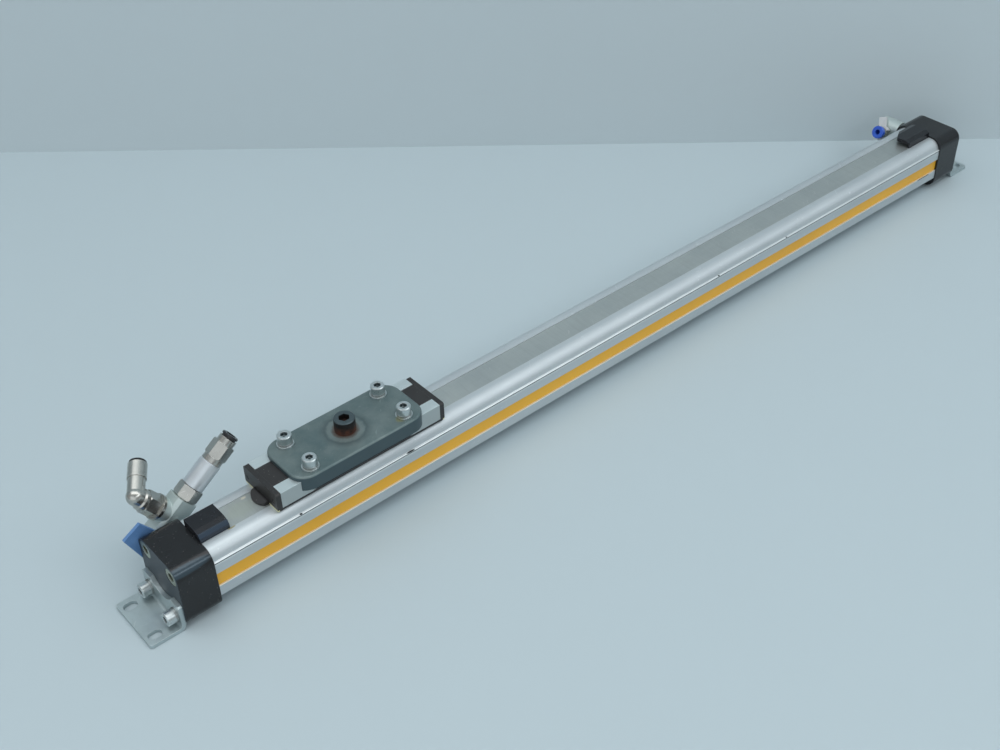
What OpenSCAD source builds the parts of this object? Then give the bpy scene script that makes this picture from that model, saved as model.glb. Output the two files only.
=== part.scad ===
// Rodless pneumatic cylinder, 25 mm bore: slotted tube sealed by an outer and an inner steel band.
// Millimetres. +X runs along the stroke, +Z is up and Z = 0 is the underside of the mounting feet.
// X = 0 is midway between the two outer faces of the end caps. The bore lies at Y = 0.

/* [Cylinder] */
// Bore of the tube
bore_d = 25; // [24:0.1:25.6]
// Height of the bore above the underside of the feet
axis_z = 22; // [21.5:0.1:30]
// Distance between the outer faces of the two end caps
overall_l = 700; // [560:1:1400]
// Distance from the near cap's outer face to the carriage centre, as drawn
carriage_at = 125; // [102:1:230]

/* [Tube profile] */
// Width across the side walls
tube_w = 39.8; // [39.4:0.1:40.8]
// Top face above the bore axis
tube_top = 19.4; // [19:0.1:20]
// Underside below the bore axis
tube_bottom = 19.6; // [19.2:0.1:20.2]
// Width across the rounded shoulders
shoulder_w = 37.7; // [37:0.1:38.6]
// Radius of the shoulders
shoulder_r = 7.7; // [6:0.1:8.5]
// Height of the shoulder ledge above the bore axis
ledge_z = 12.9; // [12.4:0.1:13.4]
// Width of the slot through the top wall
slot_w = 6.4; // [5.6:0.1:7.2]
// Depth of the shallow recess that the outer band lies in
recess_d = 0.5; // [0.4:0.05:0.8]
// Mouth of the side grooves
groove_mouth = 9.4; // [8.6:0.1:10.2]
// Depth of the side grooves
groove_depth = 3.6; // [3.2:0.1:3.8]
// Thickness of the lips of the side grooves
groove_lip = 1.3; // [1:0.1:1.6]
// Undercut behind each lip
groove_undercut = 1.5; // [1:0.1:2]
// Height of the bottom corner flats
corner_rise = 7.7; // [6.5:0.1:8.4]
// Run of the bottom corner flats
corner_run = 6.7; // [5.5:0.1:7.2]

/* [Bands] */
// Width of the outer band
outer_band_w = 16.5; // [15:0.1:17]
// Thickness of the outer band
outer_band_t = 0.3; // [0.2:0.05:0.4]
// Width of the inner band
inner_band_w = 10; // [9:0.1:10.6]
// Thickness of the inner band
inner_band_t = 0.4; // [0.3:0.05:0.5]

/* [End caps] */
// Width and height of the caps
cap_w = 41; // [40.6:0.1:42.6]
// Corner radius of the caps
cap_r = 7.5; // [5:0.1:9]
// Length of the near cap
near_cap_l = 22.5; // [20:0.5:27]
// Length of the far cap
far_cap_l = 25; // [21:0.5:29]
// Length of the cap spigots inside the bore
spigot_l = 8; // [6:0.5:10]
// Pitch of the four cap screws
screw_pitch = 27; // [26.4:0.1:27.6]
// Diameter of the round heads of the cap screws
sleeve_head_d = 10.6; // [9.6:0.1:11]
// Length of the round heads of the cap screws
sleeve_head_l = 5; // [4:0.5:7]
// Diameter of the air ports
port_d = 8.6; // [8:0.1:9]
// Distance of the port axis from the outer face of the near cap
near_port_in = 10.5; // [9.5:0.1:12]
// Distance of the port axis from the outer face of the far cap
far_port_in = 12; // [10:0.1:13]

/* [Feet] */
// Thickness of the foot sheet
foot_t = 2.5; // [2:0.1:3]
// Width of the feet
foot_w = 39; // [37:0.5:41]
// Reach of the feet beyond the caps
foot_l = 22; // [20.4:0.1:26]
// Distance of the slots from the outer faces of the caps
slot_in = 16; // [15:0.1:17]
// Pitch of the two slots of a foot
foot_pitch = 27; // [25:0.5:29]
// Width of the slots
foot_slot_w = 5.8; // [5.4:0.1:6.4]
// Length of the slots
foot_slot_l = 8.2; // [7.4:0.1:8.8]
// Top of the ears above the underside
ear_top = 18; // [17:0.1:20]

/* [Band clamps] */
// Length of the near band clamp
near_clamp_l = 18.2; // [17:0.1:19]
// Length of the far band clamp
far_clamp_l = 27; // [24:0.5:30]
// Width of the clamps
clamp_w = 16.6; // [15.6:0.1:16.8]
// Height of the clamps above the outer band
clamp_h = 5.9; // [5.2:0.1:7]
// Depth of the pockets that take the wiper tongues
pocket_l = 6.6; // [6.2:0.1:8]

/* [Carriage] */
// Length over the end plates
carriage_l = 117; // [114:0.5:130]
// Width of the carriage
carriage_w = 33; // [32:0.1:33]
// Top of the carriage above the tube
carriage_h = 12.6; // [12.2:0.1:14]
// Thickness of the end plates
end_plate_t = 3.2; // [2.8:0.1:4]
// Width of the cover between the rails
cover_w = 18.4; // [18:0.1:19]
// Protrusion of the wiper tongues
tongue_l = 5.5; // [4:0.1:5.8]
// Radius of the rounded tongues seen from above
tongue_r = 9.6; // [8.4:0.1:11]

/* [Saddle plate] */
// Length of the plate
saddle_l = 90; // [86:0.5:96]
// Width of the plate
saddle_w = 40; // [39:0.1:42]
// Thickness of the plate over the carriage
saddle_t = 3; // [2.5:0.1:4]
// Reach of the side skirts below the carriage top
skirt_h = 6.5; // [4:0.1:8]
// Corner radius of the plate
saddle_r = 11; // [8:0.1:12]
// Rounding of the upper edges
saddle_edge = 1.4; // [0.6:0.1:1.6]
// Pitch of the plate screws along the stroke
plate_pitch_x = 65; // [62:0.5:66]
// Pitch of the plate screws across the stroke
plate_pitch_y = 25; // [24.4:0.1:25.4]

/* [Pistons] */
// Distance from the carriage centre to the outer face of each piston
piston_reach = 69.5; // [68:0.1:69.5]
// Length of each piston
piston_l = 24; // [22:0.5:25]
// Diameter of the pistons
piston_d = 24.4; // [23.4:0.1:24.6]
// Length of the yoke neck that stands in the slot
neck_l = 52; // [46:0.5:53]

/* [Fasteners] */
// Diameter of the shanks of the small screws, at the thread root
m5_root = 4.1; // [4:0.02:4.14]
// Diameter of their threaded holes, at the thread root
m5_hole = 4.2; // [4.2:0.02:4.4]
// Diameter of their heads
m5_head_d = 8.5; // [8:0.1:8.8]
// Height of their heads
m5_head_h = 5; // [4.5:0.1:5.5]
// Width across the flats of their sockets
m5_hex = 4; // [3.5:0.1:4.2]
// Thickness of the spring washers
spring_washer_t = 1.25; // [1:0.05:1.5]
// Diameter of the spring washers
spring_washer_d = 8.9; // [8.6:0.1:9.4]
// Diameter of the flat washers
flat_washer_d = 10; // [9.4:0.1:10.6]
// Thickness of the flat washers
flat_washer_t = 1; // [0.8:0.05:1.2]
// Depth of the saddle plate screws in the carriage
plate_screw_depth = 5.75; // [4.5:0.05:7]
// Thickness of the centre screw's spring washer
driver_washer_t = 1.6; // [1.2:0.05:2]
// Shank of the centre screw
driver_root = 6.7; // [6:0.1:6.8]
// Diameter of the head of the centre screw
driver_head_d = 12.6; // [12:0.1:13.4]
// Height of the head of the centre screw
driver_head_h = 7.5; // [6.5:0.1:8.5]

/* [Near valve] */
// Slope of the valve above the stroke
valve_slope = 36.5; // [30:0.5:42]
// Distance of the valve axis from the cap side
valve_out = 10; // [9.7:0.1:12]
// Distance from the port axis to the branch of the elbow
branch_s = 18.3; // [17.6:0.1:19]
// Lean of the branch away from the tube
branch_lean = 7.8; // [4:0.1:10]
// Height of the branch block
block_h = 15; // [14.4:0.1:15.6]
// Thickness of the branch block
block_t = 13; // [12.4:0.1:14]
// Far end of the branch block along the valve
block_end = 29.6; // [29:0.1:30.4]
// Length of the lower hexagon
lower_hex_l = 7.6; // [6:0.1:9]
// Length of the smooth sleeve
sleeve_l = 17.1; // [14:0.1:20]
// Diameter of the smooth sleeve
sleeve_d = 13; // [12.6:0.1:13.6]
// Length of the collar above the sleeve
collar_l = 3.3; // [2:0.1:4]
// Length of the upper hexagon
upper_hex_l = 9.4; // [7:0.1:11]
// Length of the round neck
valve_neck_l = 3.6; // [2.5:0.1:5]
// Diameter of the round neck
valve_neck_d = 10.6; // [10.2:0.1:11]
// Outer diameter of the air hoses that the fittings take
hose_d = 6; // [5.6:0.1:6.4]

/* [Swivel elbow] */
// Height of the knee above the branch
knee_h = 26.7; // [25.4:0.1:28]
// Diameter of the collar at the foot of the elbow
leg_d = 12.4; // [12:0.1:13]
// Turn of the elbow about its leg
elbow_turn = 52.6; // [40:0.1:70]
// Length of the elbow tube from the knee
elbow_l = 21.6; // [19:0.1:24]
// Diameter of the elbow tube below the step
elbow_d = 9.9; // [9.5:0.1:10.2]
// Diameter of the elbow tube above the step
elbow_end_d = 10.8; // [10.5:0.1:11.4]

/* [Lever] */
// Reach of the lever from the port axis
lever_l = 25.5; // [22:0.1:27]
// Thickness of the lever
lever_t = 2; // [1.6:0.1:2.4]
// Width of the lever at its tip
lever_tip_w = 12.6; // [11:0.1:15]

/* [Far fitting] */
// Slope of the small push-in arm above the stroke
arm_slope = 26; // [20:0.5:34]
// Distance of the arm axis from the cap side
arm_out = 13.8; // [13:0.1:15]
// Reach of the arm from the port axis
arm_l = 20; // [18:0.1:22]
// Diameter of the arm
arm_d = 9; // [8.4:0.1:9.6]
// Outer diameter of the small air hose
small_hose_d = 4; // [3.6:0.1:4.2]
// Height of the clip's flag
flag_h = 7.2; // [5:0.1:9]
// Width of the clip's flag
flag_w = 6.4; // [4:0.1:8]

/* [Clearances] */
// Sliding clearance above the tube and the band
glide = 0.06; // [0.03:0.01:0.1]
// Side clearance between fixed pieces
fit = 0.1; // [0.05:0.01:0.15]
// Radial running clearance of turning and sliding rounds
run = 0.05; // [0.03:0.01:0.1]
// Side clearance of moving pieces that don't guide
free = 0.3; // [0.2:0.05:0.35]

/* [Hidden] */

$fn = 64;
e = 0.01;
big = 200;
bore_r = bore_d / 2;
half_l = overall_l / 2;
cap_side = cap_w / 2;
screw_at = screw_pitch / 2;
near_in_x = -half_l + near_cap_l;
far_in_x = half_l - far_cap_l;
tube_l = far_in_x - near_in_x;
side_y = tube_w / 2;
top_z = axis_z + tube_top;
recess_z = top_z - recess_d;
band_top_z = recess_z + outer_band_t;
recess_w = outer_band_w + 0.5;
// the inner band closes the bore, so its underside is level with the crown of the bore
inner_band_z = bore_r + 0.1;
seat_z = inner_band_z + inner_band_t + 0.05;
seat_w = inner_band_w + 0.4;
deck_z = top_z + carriage_h;
half_c = carriage_l / 2;
body_half = half_c - end_plate_t;
rail_z = top_z + 1.7;
// the outer band rises over the yoke
arch_flat = neck_l / 2 + 4;
arch_run = 15;
arch_z = top_z + 5.2;
yoke_plate_z0 = rail_z + 0.2;
yoke_plate_z1 = arch_z - 0.4;
web_z0 = arch_z + outer_band_t + 0.8;
web_z1 = web_z0 + 2;
carriage_x = carriage_at - overall_l / 2;
yoke_half = piston_reach - piston_l;
dip_z = 3;
dip_flat = neck_l / 2 + 2;
dip_run = 13;
near_port_x = -half_l + near_port_in;
far_port_x = half_l - far_port_in;
hose_r = hose_d / 2 + run;
small_hose_r = small_hose_d / 2 + run;
valve_y = cap_side + valve_out;
spacer_t = lever_t + 2 * free;
s_hex0 = block_end + 0.5;
s_sleeve0 = s_hex0 + lower_hex_l;
s_collar0 = s_sleeve0 + sleeve_l;
s_hex1 = s_collar0 + collar_l;
s_neck0 = s_hex1 + upper_hex_l;
s_end = s_neck0 + valve_neck_l;
boss_top = block_h / 2 + 3;
stem_top = knee_h - elbow_d / 2 - 2 * free;

// ---- shared shapes ----

// Round bar along X
module bar_x(x0, x1, d) {
  translate([x0, 0, 0]) rotate([0, 90, 0]) cylinder(h = x1 - x0, d = d);
}

// Round bar along Y
module bar_y(y0, y1, d) {
  translate([0, y0, 0]) rotate([-90, 0, 0]) cylinder(h = y1 - y0, d = d);
}

// Extrudes an outline drawn in Y and Z along X
module run_x(x0, x1) {
  translate([x0, 0, 0]) rotate([90, 0, 90]) linear_extrude(x1 - x0) children();
}

// Extrudes an outline drawn in X and Z across Y
module run_y(y0, y1) {
  translate([0, y1, 0]) rotate([90, 0, 0]) linear_extrude(y1 - y0) children();
}

module box_from(x0, x1, y0, y1, z0, z1) {
  translate([x0, y0, z0]) cube([x1 - x0, y1 - y0, z1 - z0]);
}

// Hexagonal prism standing on Z = 0, with its width across the flats
module hex_rod(af, h) {
  cylinder(h = h, d = af / cos(30), $fn = 6);
}

// Hexagonal nut with turned-down corners
module hex_nut(af, h) {
  intersection() {
    hex_rod(af, h);
    rotate_extrude() polygon([[0, 0], [af * 0.535, 0], [af * 0.577, 0.7],
      [af * 0.577, h - 0.7], [af * 0.535, h], [0, h]]);
  }
}

module rounded_rect(w, h, r) {
  square([w - 2 * r, h], center = true);
  square([w, h - 2 * r], center = true);
  for (sx = [-1, 1], sy = [-1, 1]) translate([sx * (w / 2 - r), sy * (h / 2 - r)]) circle(r = r);
}

// Ring standing on Z = 0
module ring(od, id, h) {
  difference() {
    cylinder(h = h, d = od);
    translate([0, 0, -1]) cylinder(h = h + 2, d = id);
  }
}

// Split spring washer standing on Z = 0
module spring_washer(od, id, t) {
  difference() {
    ring(od, id, t);
    rotate([0, 0, 20]) translate([id / 4, -0.35, -1]) cube([od, 0.7, t + 2]);
  }
}

// Socket head screw, seat of the head at Z = 0, shank downwards
module cap_screw(head_d, head_h, af, shank_d, shank_l, socket) {
  difference() {
    union() {
      rotate_extrude() polygon([[0, 0], [head_d / 2, 0], [head_d / 2, head_h - 0.5],
        [head_d / 2 - 0.5, head_h], [0, head_h]]);
      translate([0, 0, -shank_l]) cylinder(h = shank_l + e, d = shank_d);
    }
    translate([0, 0, head_h - socket]) hex_rod(af, socket + 1);
  }
}

// Places a copy at each corner of a rectangular pattern in X and Y
module four(px, py) {
  for (sx = [-1, 1], sy = [-1, 1]) translate([sx * px / 2, sy * py / 2, 0]) children();
}

module at_axis() {
  translate([0, 0, axis_z]) children();
}

module at_carriage() {
  translate([carriage_x, 0, 0]) children();
}

// Mirrors a piece drawn for the -X end onto the +X end as well
module both_ends() {
  children();
  mirror([1, 0, 0]) children();
}

// ---- tube ----

module side_groove() {
  m = groove_mouth / 2;
  translate([side_y, 0]) polygon([[1, -m], [1, m], [-groove_lip, m],
    [-groove_lip - 0.4, m + groove_undercut], [-groove_depth, m + groove_undercut],
    [-groove_depth, -m - groove_undercut], [-groove_lip - 0.4, -m - groove_undercut],
    [-groove_lip, -m]]);
}

// Body of the tube below the ledge, with its chamfered lips and bottom corner flats
module tube_lower() {
  c = 0.35;
  polygon([[side_y - c, ledge_z], [side_y, ledge_z - c], [side_y, -tube_bottom + corner_rise],
    [side_y - corner_run, -tube_bottom], [-side_y + corner_run, -tube_bottom],
    [-side_y, -tube_bottom + corner_rise], [-side_y, ledge_z - c], [-side_y + c, ledge_z]]);
}

// Everything that is open along the whole tube
module tube_cuts() {
  circle(d = bore_d, $fn = 96);
  // slot, seat of the inner band and recess of the outer band
  translate([-slot_w / 2, 0]) square([slot_w, tube_top + 1]);
  translate([-seat_w / 2, bore_r - 2]) square([seat_w, seat_z - bore_r + 2]);
  translate([-recess_w / 2, tube_top - recess_d]) square([recess_w, recess_d + 1]);
  // shallow groove along the underside
  translate([-4.5, -tube_bottom - 1]) square([9, 2.2]);
}

// Hairline groove under the ledge, with a bevelled lower lip
module hairline() {
  translate([side_y, ledge_z]) polygon([[1, -0.7], [-0.8, -0.7], [-0.8, -1.4], [-0.4, -1.4],
    [0, -1.9], [1, -1.9]]);
}

module barrel() {
  x0 = near_in_x - 1;
  x1 = far_in_x + 1;
  color("silver") at_axis() difference() {
    union() {
      run_x(near_in_x, far_in_x) tube_lower();
      translate([0, 0, tube_top - 10]) run_x(near_in_x, far_in_x)
        rounded_rect(shoulder_w, 20, shoulder_r);
    }
    run_x(x0, x1) tube_cuts();
    for (s = [0, 1]) mirror([0, s, 0]) {
      run_x(x0, x1) side_groove();
      run_x(x0, x1) hairline();
    }
    // threaded holes of the cap screws in both end faces
    for (sy = [-1, 1], sz = [-1, 1]) translate([0, sy * screw_at, sz * screw_at]) {
      bar_x(x0, near_in_x + 16, m5_hole);
      bar_x(far_in_x - 16, x1, m5_hole);
    }
  }
}

// Yellow strip that snaps into the front groove
module side_strip() {
  m = groove_mouth / 2 - fit;
  w = groove_mouth / 2 + groove_undercut - 0.25;
  y0 = side_y - groove_depth + fit;
  y1 = side_y - 1.0;
  color("orange") at_axis() mirror([0, 1, 0]) run_x(near_in_x + fit, far_in_x - fit) difference() {
    union() {
      translate([y0 + 0.9, -m]) square([y1 - y0 - 0.9, 2 * m]);
      translate([y0, -w]) square([1.2, 2 * w]);
    }
    // relief channel behind the face
    translate([y0 - 1, -m + 1.6]) square([1.7, 2 * m - 3.2]);
  }
}

// ---- bands ----

// Strip of thickness t that follows [x, z] points, drawn in X and Z
module strip_outline(p, t) {
  n = len(p);
  polygon(concat(p, [for (i = [n - 1:-1:0]) [p[i][0], p[i][1] + t]]));
}

module outer_band() {
  x0 = near_in_x + near_clamp_l - 9;
  x1 = far_in_x - far_clamp_l + 16;
  c = carriage_x;
  color("gray") run_y(-outer_band_w / 2, outer_band_w / 2) strip_outline([
    [x0, recess_z], [c - arch_flat - arch_run, recess_z], [c - arch_flat, arch_z],
    [c + arch_flat, arch_z], [c + arch_flat + arch_run, recess_z], [x1, recess_z]], outer_band_t);
}

module inner_band() {
  x0 = near_in_x + fit;
  x1 = far_in_x - fit;
  c = carriage_x;
  color("lightgray") at_axis() run_y(-inner_band_w / 2, inner_band_w / 2) strip_outline([
    [x0, inner_band_z], [c - dip_flat - dip_run, inner_band_z], [c - dip_flat, dip_z],
    [c + dip_flat, dip_z], [c + dip_flat + dip_run, inner_band_z], [x1, inner_band_z]], inner_band_t);
}

// ---- end caps ----

// Cap drawn at the -X end: outer face at x0, length l, port axis at px
module cap_solid(x0, l, px) {
  x1 = x0 + l;
  sp = x1 + spigot_l;
  difference() {
    union() {
      run_x(x0, x1) rounded_rect(cap_w, cap_w, cap_r);
      difference() {
        bar_x(x1 - e, sp, bore_d - 2 * fit);
        // room for the inner band over the spigot
        box_from(x1, sp + 1, -seat_w / 2, seat_w / 2, inner_band_z - 1, bore_r + 1);
      }
    }
    // groove of the sealing ring
    translate([x1 + 2, 0, 0]) rotate([0, 90, 0]) ring(bore_d + 2, bore_d - 4.4, 2.4);
    // cushion passage and its bush
    bar_x(px - 3, sp + 1, 6);
    bar_x(x1 - 6, sp + 1, 9.2 + 2 * run);
    // port
    translate([px, 0, 0]) bar_y(2, cap_side + 1, port_d);
    // cap screws
    for (sy = [-1, 1], sz = [-1, 1]) translate([0, sy * screw_at, sz * screw_at]) {
      bar_x(x0 - 1, x1 + 1, 6.2);
      bar_x(x0 - 1, x0 + sleeve_head_l + 0.2, sleeve_head_d + 2 * fit);
    }
    // needle screw of the cushion
    translate([x1 - 4.4, 0, 6.6]) bar_y(4, cap_side + 1, 3);
    translate([x1 - 4.4, 0, 6.6]) bar_y(cap_side - 2.4, cap_side + 1, 4.6);
    // seat of the tube end
    run_x(x1 - 0.6, x1 + e) difference() {
      rounded_rect(cap_w - 3, cap_w - 3, cap_r - 1);
      rounded_rect(cap_w - 5, cap_w - 5, cap_r - 2);
    }
  }
}

module near_cap() {
  color([0.15, 0.15, 0.16]) at_axis() cap_solid(-half_l, near_cap_l, near_port_x);
}

module far_cap() {
  color([0.15, 0.15, 0.16]) at_axis() mirror([1, 0, 0]) cap_solid(-half_l, far_cap_l, -far_port_x);
}

// Sleeve screw along +X with its head face at X = 0 and its tip in the tube end
module sleeve_screw(cap_l) {
  l = cap_l + 12;
  difference() {
    union() {
      bar_x(0, sleeve_head_l, sleeve_head_d);
      bar_x(0, cap_l - 0.4, 6);
      bar_x(0, l, m5_root);
    }
    rotate([0, 90, 0]) translate([0, 0, -1]) hex_rod(5, 4);
    bar_x(-1, 16, m5_hole);
  }
}

module sleeve_set(cap_l) {
  for (sy = [-1, 1], sz = [-1, 1])
    translate([-half_l + 0.15, sy * screw_at, axis_z + sz * screw_at]) sleeve_screw(cap_l);
}

module near_sleeve_screws() {
  color([0.55, 0.56, 0.52]) sleeve_set(near_cap_l);
}

module far_sleeve_screws() {
  color([0.55, 0.56, 0.52]) mirror([1, 0, 0]) sleeve_set(far_cap_l);
}

module sealing_ring(x) {
  at_axis() translate([x + 3.2, 0, 0]) rotate([0, 90, 0])
    rotate_extrude() translate([bore_r - 1.05 - run, 0]) circle(d = 2.1, $fn = 32);
}

module near_cap_ring() {
  color("black") sealing_ring(near_in_x);
}

module far_cap_ring() {
  color("black") sealing_ring(far_in_x - 6.4);
}

// Brass bush on which the piston closes at the end of the stroke
module cushion_bush(x1) {
  at_axis() translate([x1 - 5.9, 0, 0]) rotate([0, 90, 0]) difference() {
    rotate_extrude() polygon([[0, 0], [4.6, 0], [4.6, spigot_l + 16.4], [4, spigot_l + 17.4],
      [0, spigot_l + 17.4]]);
    translate([0, 0, -1]) cylinder(h = spigot_l + 20, d = 6);
  }
}

module near_cushion_bush() {
  color("gold") cushion_bush(near_in_x);
}

module far_cushion_bush() {
  color("gold") mirror([1, 0, 0]) cushion_bush(-far_in_x);
}

module needle(x1) {
  translate([x1 - 4.4, cap_side - 2.3, axis_z + 6.6]) rotate([90, 0, 0]) difference() {
    union() {
      translate([0, 0, -1.9]) cylinder(h = 1.9, d = 4.4);
      cylinder(h = 9, d = 2.9);
      translate([0, 0, 9]) cylinder(h = 2.5, d1 = 2.9, d2 = 1);
    }
    translate([0, 0, -3]) hex_rod(2, 3);
  }
}

module near_cushion_screw() {
  color("gold") needle(near_in_x);
}

module far_cushion_screw() {
  color("gold") mirror([1, 0, 0]) needle(-far_in_x);
}

// ---- band clamps ----

// Clamp drawn at the -X end on top of the outer band, from the cap to x1
module clamp_solid(x0, l, relief_l, relief_w) {
  w = clamp_w / 2;
  z0 = band_top_z + 0.02;
  difference() {
    children();
    // pocket of the wiper tongue
    box_from(x0 + l - pocket_l, x0 + l + 1, -7.3, 7.3, z0 - 1, z0 + 3.1);
    // relieved rear corner
    translate([x0 + l, w, z0 - 1]) linear_extrude(clamp_h + 2)
      polygon([[-relief_l, 1], [-relief_l, 0], [0, -relief_w], [1, -relief_w], [1, 1]]);
  }
  // key that stands in the slot past the end of the band
  box_from(x0 + 0.3, x0 + 7.5, -slot_w / 2 + fit, slot_w / 2 - fit, recess_z - 3, z0 + 0.5);
}

// Near clamp: square rear edge, front edge broken by two flats
module near_clamp() {
  x0 = near_in_x + 0.1;
  w = clamp_w / 2;
  z0 = band_top_z + 0.02;
  z1 = band_top_z + clamp_h;
  color([0.12, 0.12, 0.16]) clamp_solid(x0, near_clamp_l, 0.01, 0.01)
    run_x(x0, x0 + near_clamp_l) polygon([[-w, z0], [w, z0], [w, z1], [-w * 0.34, z1],
      [-w + 1.7, z1 - 1], [-w, z0 + 2.6]]);
}

// Far clamp: both edges bevelled, end rounded
module far_clamp() {
  x0 = -far_in_x + 0.1;
  w = clamp_w / 2;
  z0 = band_top_z + 0.02;
  z1 = band_top_z + clamp_h;
  flat = w * 0.56;
  shelf = z1 - 1.4;
  end_r = 19;
  color([0.12, 0.12, 0.16]) mirror([1, 0, 0]) clamp_solid(x0, far_clamp_l, 11, 6) intersection() {
    run_x(x0, x0 + far_clamp_l)
      polygon([[-w, z0], [w, z0], [w, shelf], [flat, z1], [-flat, z1], [-w, shelf]]);
    translate([x0 + far_clamp_l - end_r, 0, z0 - 1]) cylinder(h = clamp_h + 2, r = end_r, $fn = 96);
  }
}

// ---- feet ----

// Angle foot at the -X end: slotted base and an eared leg on the cap face
module foot() {
  w = foot_w / 2;
  x0 = -half_l - foot_l;
  xl = -half_l - foot_t;
  bend = foot_t + 1.5;
  difference() {
    union() {
      // folded sheet with a round bend
      difference() {
        run_y(-w, w) difference() {
          union() {
            translate([x0, 0]) square([foot_l - bend, foot_t]);
            translate([xl, bend]) square([foot_t, ear_top - bend]);
            translate([-half_l - bend, bend]) circle(r = bend);
          }
          translate([-half_l - bend, bend]) circle(r = 1.5);
          translate([-half_l - 2 * bend - 1, foot_t]) square([bend + 1, 2 * bend]);
          translate([-half_l - bend, bend]) square([bend - foot_t, bend]);
          translate([-half_l - 2 * bend - 1, bend]) square([bend + 1, 2 * bend]);
        }
      }
    }
    // slots, each with its length along the stroke
    for (s = [-1, 1]) translate([-half_l - slot_in, s * foot_pitch / 2, -1]) linear_extrude(foot_t + 2) {
      a = (foot_slot_l - foot_slot_w) / 2;
      square([2 * a, foot_slot_w], center = true);
      for (k = [-1, 1]) translate([k * a, 0]) circle(d = foot_slot_w);
    }
    // holes of the foot screws
    for (s = [-1, 1]) translate([0, s * screw_at, axis_z - screw_at]) bar_x(xl - 1, -half_l + 1, 5.4);
    // scallop between the ears
    translate([0, 0, axis_z + 5]) bar_x(xl - 1, -half_l + 1, 28);
    // trimmed outer corners of the base
    for (s = [0, 1]) mirror([0, s, 0]) translate([x0, w, -1]) linear_extrude(foot_t + 2)
      polygon([[-1, 1], [1, 1], [1, 0], [0, -1], [-1, -1]]);
    // trimmed ear corners
    for (s = [0, 1]) mirror([0, s, 0]) run_x(xl - 1, -half_l + 1)
      polygon([[w - 1, ear_top + 1], [w - 1, ear_top], [w, ear_top - 1], [w + 1, ear_top - 1],
        [w + 1, ear_top + 1]]);
  }
}

module near_foot() {
  color([0.62, 0.68, 0.69]) foot();
}

module far_foot() {
  color([0.62, 0.68, 0.69]) mirror([1, 0, 0]) foot();
}

module at_foot_screws() {
  both_ends() for (s = [-1, 1])
    translate([-half_l - foot_t, s * screw_at, axis_z - screw_at]) rotate([0, -90, 0]) children();
}

module foot_screws() {
  color([0.7, 0.71, 0.76]) at_foot_screws() translate([0, 0, spring_washer_t])
    cap_screw(m5_head_d, m5_head_h, m5_hex, m5_root, 14.5, 2.6);
}

module foot_spring_washers() {
  color([0.5, 0.5, 0.53]) at_foot_screws() spring_washer(spring_washer_d, 5.2, spring_washer_t);
}

// ---- carriage ----

// Aluminium body: two rails joined by a web that bridges the raised band
module carriage_body() {
  w = carriage_w / 2;
  cw = cover_w / 2;
  color([0.72, 0.75, 0.78]) at_carriage() difference() {
    run_x(-body_half, body_half) polygon([[-w, rail_z], [-cw, rail_z], [-cw, web_z0], [cw, web_z0],
      [cw, rail_z], [w, rail_z], [w, deck_z], [cw, deck_z], [cw, web_z1], [-cw, web_z1],
      [-cw, deck_z], [-w, deck_z]]);
    // pockets that hold the wings of the yoke
    for (s = [0, 1]) mirror([0, s, 0])
      box_from(-neck_l / 2 - 0.2, neck_l / 2 + 0.2, cw - 1, cw + 3.1, rail_z - 1, yoke_plate_z1 + fit);
    // threaded holes of the plate screws
    translate([0, 0, deck_z - plate_screw_depth - 2.25]) four(plate_pitch_x, plate_pitch_y)
      cylinder(h = plate_screw_depth + 3.25, d = m5_hole);
    // threaded holes of the end plates
    for (s = [0, 1], t = [-1, 1]) mirror([s, 0, 0])
      translate([0, t * 12.9, rail_z + 4.4]) bar_x(-body_half - 1, -body_half + 8, 2.5);
  }
}

module carriage_cover() {
  w = cover_w / 2 - fit;
  c = 0.5;
  color([0.16, 0.16, 0.17]) at_carriage() difference() {
    run_x(-body_half, body_half) polygon([[-w, web_z1 + 0.02], [w, web_z1 + 0.02], [w, deck_z - c],
      [w - c, deck_z], [-w + c, deck_z], [-w, deck_z - c]]);
    // relief under the centre screw
    translate([0, 0, web_z1 - 1]) cylinder(h = deck_z - web_z1 + 2, d = driver_root + 2.3);
  }
}

// End plate at the -X end, with its notch for the band wiper and its felt groove
module end_plate() {
  w = carriage_w / 2;
  z0 = top_z + glide;
  difference() {
    run_x(-half_c, -body_half) difference() {
      translate([-w, z0]) square([2 * w, deck_z - z0]);
      translate([-7.2, z0 - 1]) square([14.4, 3.9]);
    }
    box_from(-half_c - 1, -half_c + 1.3, -w - 1, w + 1, z0 - 1, z0 + 1.2);
    for (t = [-1, 1]) translate([0, t * 12.9, rail_z + 4.4]) {
      bar_x(-half_c - 1, -body_half + 1, 2.8);
    }
    // bevelled upper corners
    for (s = [0, 1]) mirror([0, s, 0]) run_x(-half_c - 1, -body_half + 1)
      polygon([[w - 0.8, deck_z + 1], [w - 0.8, deck_z], [w, deck_z - 0.8], [w + 1, deck_z - 0.8],
        [w + 1, deck_z + 1]]);
  }
  // screws of the plate, flush with its face
  for (t = [-1, 1]) translate([0, t * 12.9, rail_z + 4.4]) bar_x(-half_c + 0.2, -body_half + 6, 2.4);
}

module near_end_plate() {
  color([0.14, 0.14, 0.15]) at_carriage() end_plate();
}

module far_end_plate() {
  color([0.14, 0.14, 0.15]) at_carriage() mirror([1, 0, 0]) end_plate();
}

module felt_scrapers() {
  w = carriage_w / 2 - 0.3;
  z0 = top_z + glide;
  color([0.75, 0.7, 0.45]) at_carriage() both_ends()
    for (s = [0, 1]) mirror([0, s, 0])
      box_from(-half_c + 0.1, -half_c + 1.25, 7.3, w, z0, z0 + 1.15);
}

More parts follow.
